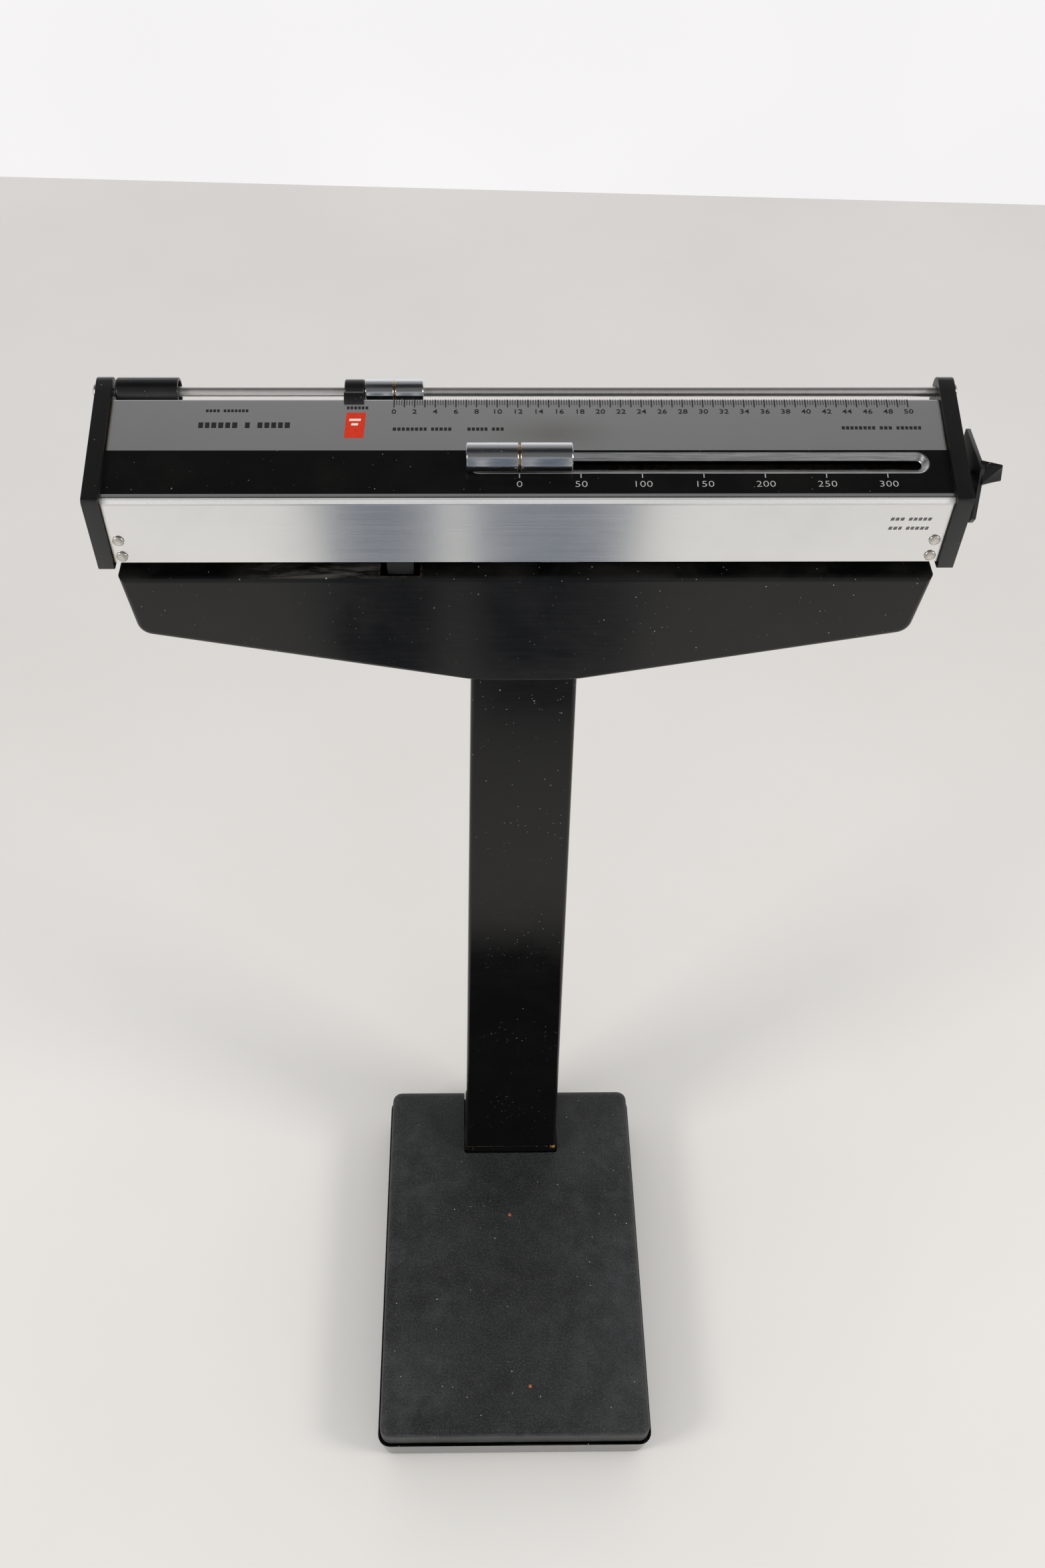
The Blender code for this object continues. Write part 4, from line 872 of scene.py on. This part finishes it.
def finish_cad_nodes():
    """The finish of every CAD node that is not replaced."""
    finishes = {"face_panel": FACE, "hood_shell": HOOD_PAINT, "hood_back_cover": HOOD_PAINT,
                "column": COLUMN_PAINT, "base_pan": BASE_PAINT, "platform_tread": TREAD,
                "platform_pan": BASE_PAINT, "rear_panel": HOOD_PAINT, "long_lever": IRON,
                "short_lever": IRON, "poise_weight": IRON, "beam_stop_tab": IRON}
    for node in NODES:
        if node.startswith("foot_"):
            refine(node, RUBBER)
        else:
            refine(node, finishes.get(node, STEEL))


# ---------------------------------------------------------------- studio
def stage_mesh(name, corners, material):
    mesh = bpy.data.meshes.new(name)
    mesh.from_pydata(corners, [], [tuple(range(len(corners)))])
    mesh.materials.append(material)
    piece = bpy.data.objects.new(name, mesh)
    bpy.context.scene.collection.objects.link(piece)
    return piece


def floor_finish():
    g = Graph("studio_floor")
    cloud = g.noise(1.6, 4.0, 0.5)
    marks = g.span(g.noise(26.0, 5.0, 0.7), 0.70, 0.78, 0.0, 0.10)
    color = g.blend(g.span(cloud, 0.3, 0.7), (0.735, 0.720, 0.690), (0.775, 0.760, 0.735))
    color = g.blend(marks, color, (0.55, 0.53, 0.50))
    return g.surface(base_color=color, roughness=0.55, specular_ior_level=0.25)


def backdrop_finish():
    g = Graph("studio_backdrop")
    glow = g.span(g.noise(0.8, 2.0), 0.3, 0.7, 0.80, 0.86)
    g.put(g.shader.inputs["Emission Color"], (1.0, 0.985, 1.0))
    g.put(g.shader.inputs["Emission Strength"], glow)
    return g.surface(base_color=(0.1, 0.1, 0.1), roughness=0.9)


FLAG_Y = -0.62


def build_stage():
    """The floor, a bright backdrop, and two dark cards that show in reflections only."""
    reach = 9.0
    floor = [(-reach, -reach, 0), (reach, -reach, 0), (reach, reach, 0), (-reach, reach, 0)]
    stage_mesh("floor", floor, floor_finish())
    near_left, near_right = (-4.0, 2.49), (4.0, 2.08)
    wall = [(*near_left, 0), (*near_right, 0), (*near_right, 2.2), (*near_left, 2.2)]
    stage_mesh("backdrop", wall, backdrop_finish())
    cloth = Graph("flag_cloth")
    cloth.put(cloth.shader.inputs["Emission Color"], (0.68, 0.80, 1.0))
    cloth.put(cloth.shader.inputs["Emission Strength"], cloth.span(cloth.noise(3.0), 0.3, 0.7, 0.15, 0.19))
    dark = cloth.surface(base_color=(0.015, 0.015, 0.017), roughness=0.9)
    for name, low, high in (("flag_left", -0.240, -0.092), ("flag_right", -0.046, 0.158)):
        card = [(low, FLAG_Y, 0), (high, FLAG_Y, 0), (high, FLAG_Y, 1.30), (low, FLAG_Y, 1.30)]
        flag = stage_mesh(name, card, dark)
        flag.visible_camera = flag.visible_shadow = flag.visible_diffuse = False


def softbox(name, at, aim, size, watts):
    data = bpy.data.lights.new(name, "AREA")
    data.shape, data.size, data.energy = "SQUARE", size, watts
    data.color = (1.0, 0.985, 0.96)
    lamp = bpy.data.objects.new(name, data)
    bpy.context.scene.collection.objects.link(lamp)
    lamp.location = at
    lamp.rotation_euler = (Vector(aim) - Vector(at)).to_track_quat("-Z", "Y").to_euler()


AMBIENT = 0.665
# reflected room: (from, to, low, high) along +Y for the far side, along -Y for the near side
FAR_SIDE = (0.18, 0.85, 0.020, 0.52)
NEAR_HIGH = (-0.20, -0.50, 0.0, 0.11)
NEAR_LOW = (-0.78, -0.97, 0.0, 0.50)


def build_lights():
    """Two soft boxes, and a room that is white to the camera and graded in reflections."""
    softbox("softbox_left", (-1.60, -0.75, 1.60), (0.10, 0.75, 0.20), 0.60, 16)
    softbox("softbox_right", (1.55, -0.55, 1.60), (-0.15, 0.75, 0.20), 0.60, 15)
    world = bpy.data.worlds.new("studio")
    bpy.context.scene.world = world
    world.use_nodes = True
    tree = world.node_tree
    back = tree.nodes["Background"]
    path = tree.nodes.new("ShaderNodeLightPath")
    direction = tree.nodes.new("ShaderNodeTexCoord")
    parts = tree.nodes.new("ShaderNodeSeparateXYZ")
    tree.links.new(direction.outputs["Generated"], parts.inputs[0])
    room = None
    for numbers in (FAR_SIDE, NEAR_HIGH, NEAR_LOW):
        ramp = tree.nodes.new("ShaderNodeMapRange")
        tree.links.new(parts.outputs["Y"], ramp.inputs[0])
        for socket, number in zip(ramp.inputs[1:5], numbers):
            socket.default_value = number
        if room is None:
            room = ramp.outputs[0]
            continue
        both = tree.nodes.new("ShaderNodeMath")
        tree.links.new(room, both.inputs[0])
        tree.links.new(ramp.outputs[0], both.inputs[1])
        room = both.outputs[0]
    glossy = tree.nodes.new("ShaderNodeMix")
    glossy.inputs[2].default_value = AMBIENT
    tree.links.new(room, glossy.inputs[3])
    tree.links.new(path.outputs["Is Glossy Ray"], glossy.inputs[0])
    seen = tree.nodes.new("ShaderNodeMix")
    seen.inputs[3].default_value = 0.86
    tree.links.new(path.outputs["Is Camera Ray"], seen.inputs[0])
    tree.links.new(glossy.outputs[0], seen.inputs[2])
    tree.links.new(seen.outputs[0], back.inputs["Strength"])
    back.inputs["Color"].default_value = (1.0, 1.0, 1.0, 1.0)


def build_camera():
    data = bpy.data.cameras.new("camera")
    data.sensor_fit, data.sensor_width = "AUTO", 36.0
    data.lens = 32.30
    data.shift_x, data.shift_y = 0.0140, 0.01451
    data.clip_end = 40.0
    camera = bpy.data.objects.new("camera", data)
    bpy.context.scene.collection.objects.link(camera)
    yaw, pitch, roll = 0.02045, 0.88418, 0.01194
    place = Matrix.Translation((CENTRE_X - 0.0286, panel_low.y - 0.6719, 1.4548))
    camera.matrix_world = (place @ Matrix.Rotation(-yaw, 4, "Z")
                           @ Matrix.Rotation(math.pi / 2 - pitch, 4, "X") @ Matrix.Rotation(roll, 4, "Z"))
    bpy.context.scene.camera = camera
    bpy.context.scene.view_settings.view_transform = "Standard"


# ---------------------------------------------------------------- everything
finish_cad_nodes()
build_band()
build_print()
build_slot()
build_rivets()
build_rod()
build_small_poise()
build_large_poise()
build_sleeve()
build_collar()
build_moulded()
build_skirt()
build_front_print()
build_stage()
build_lights()
build_camera()
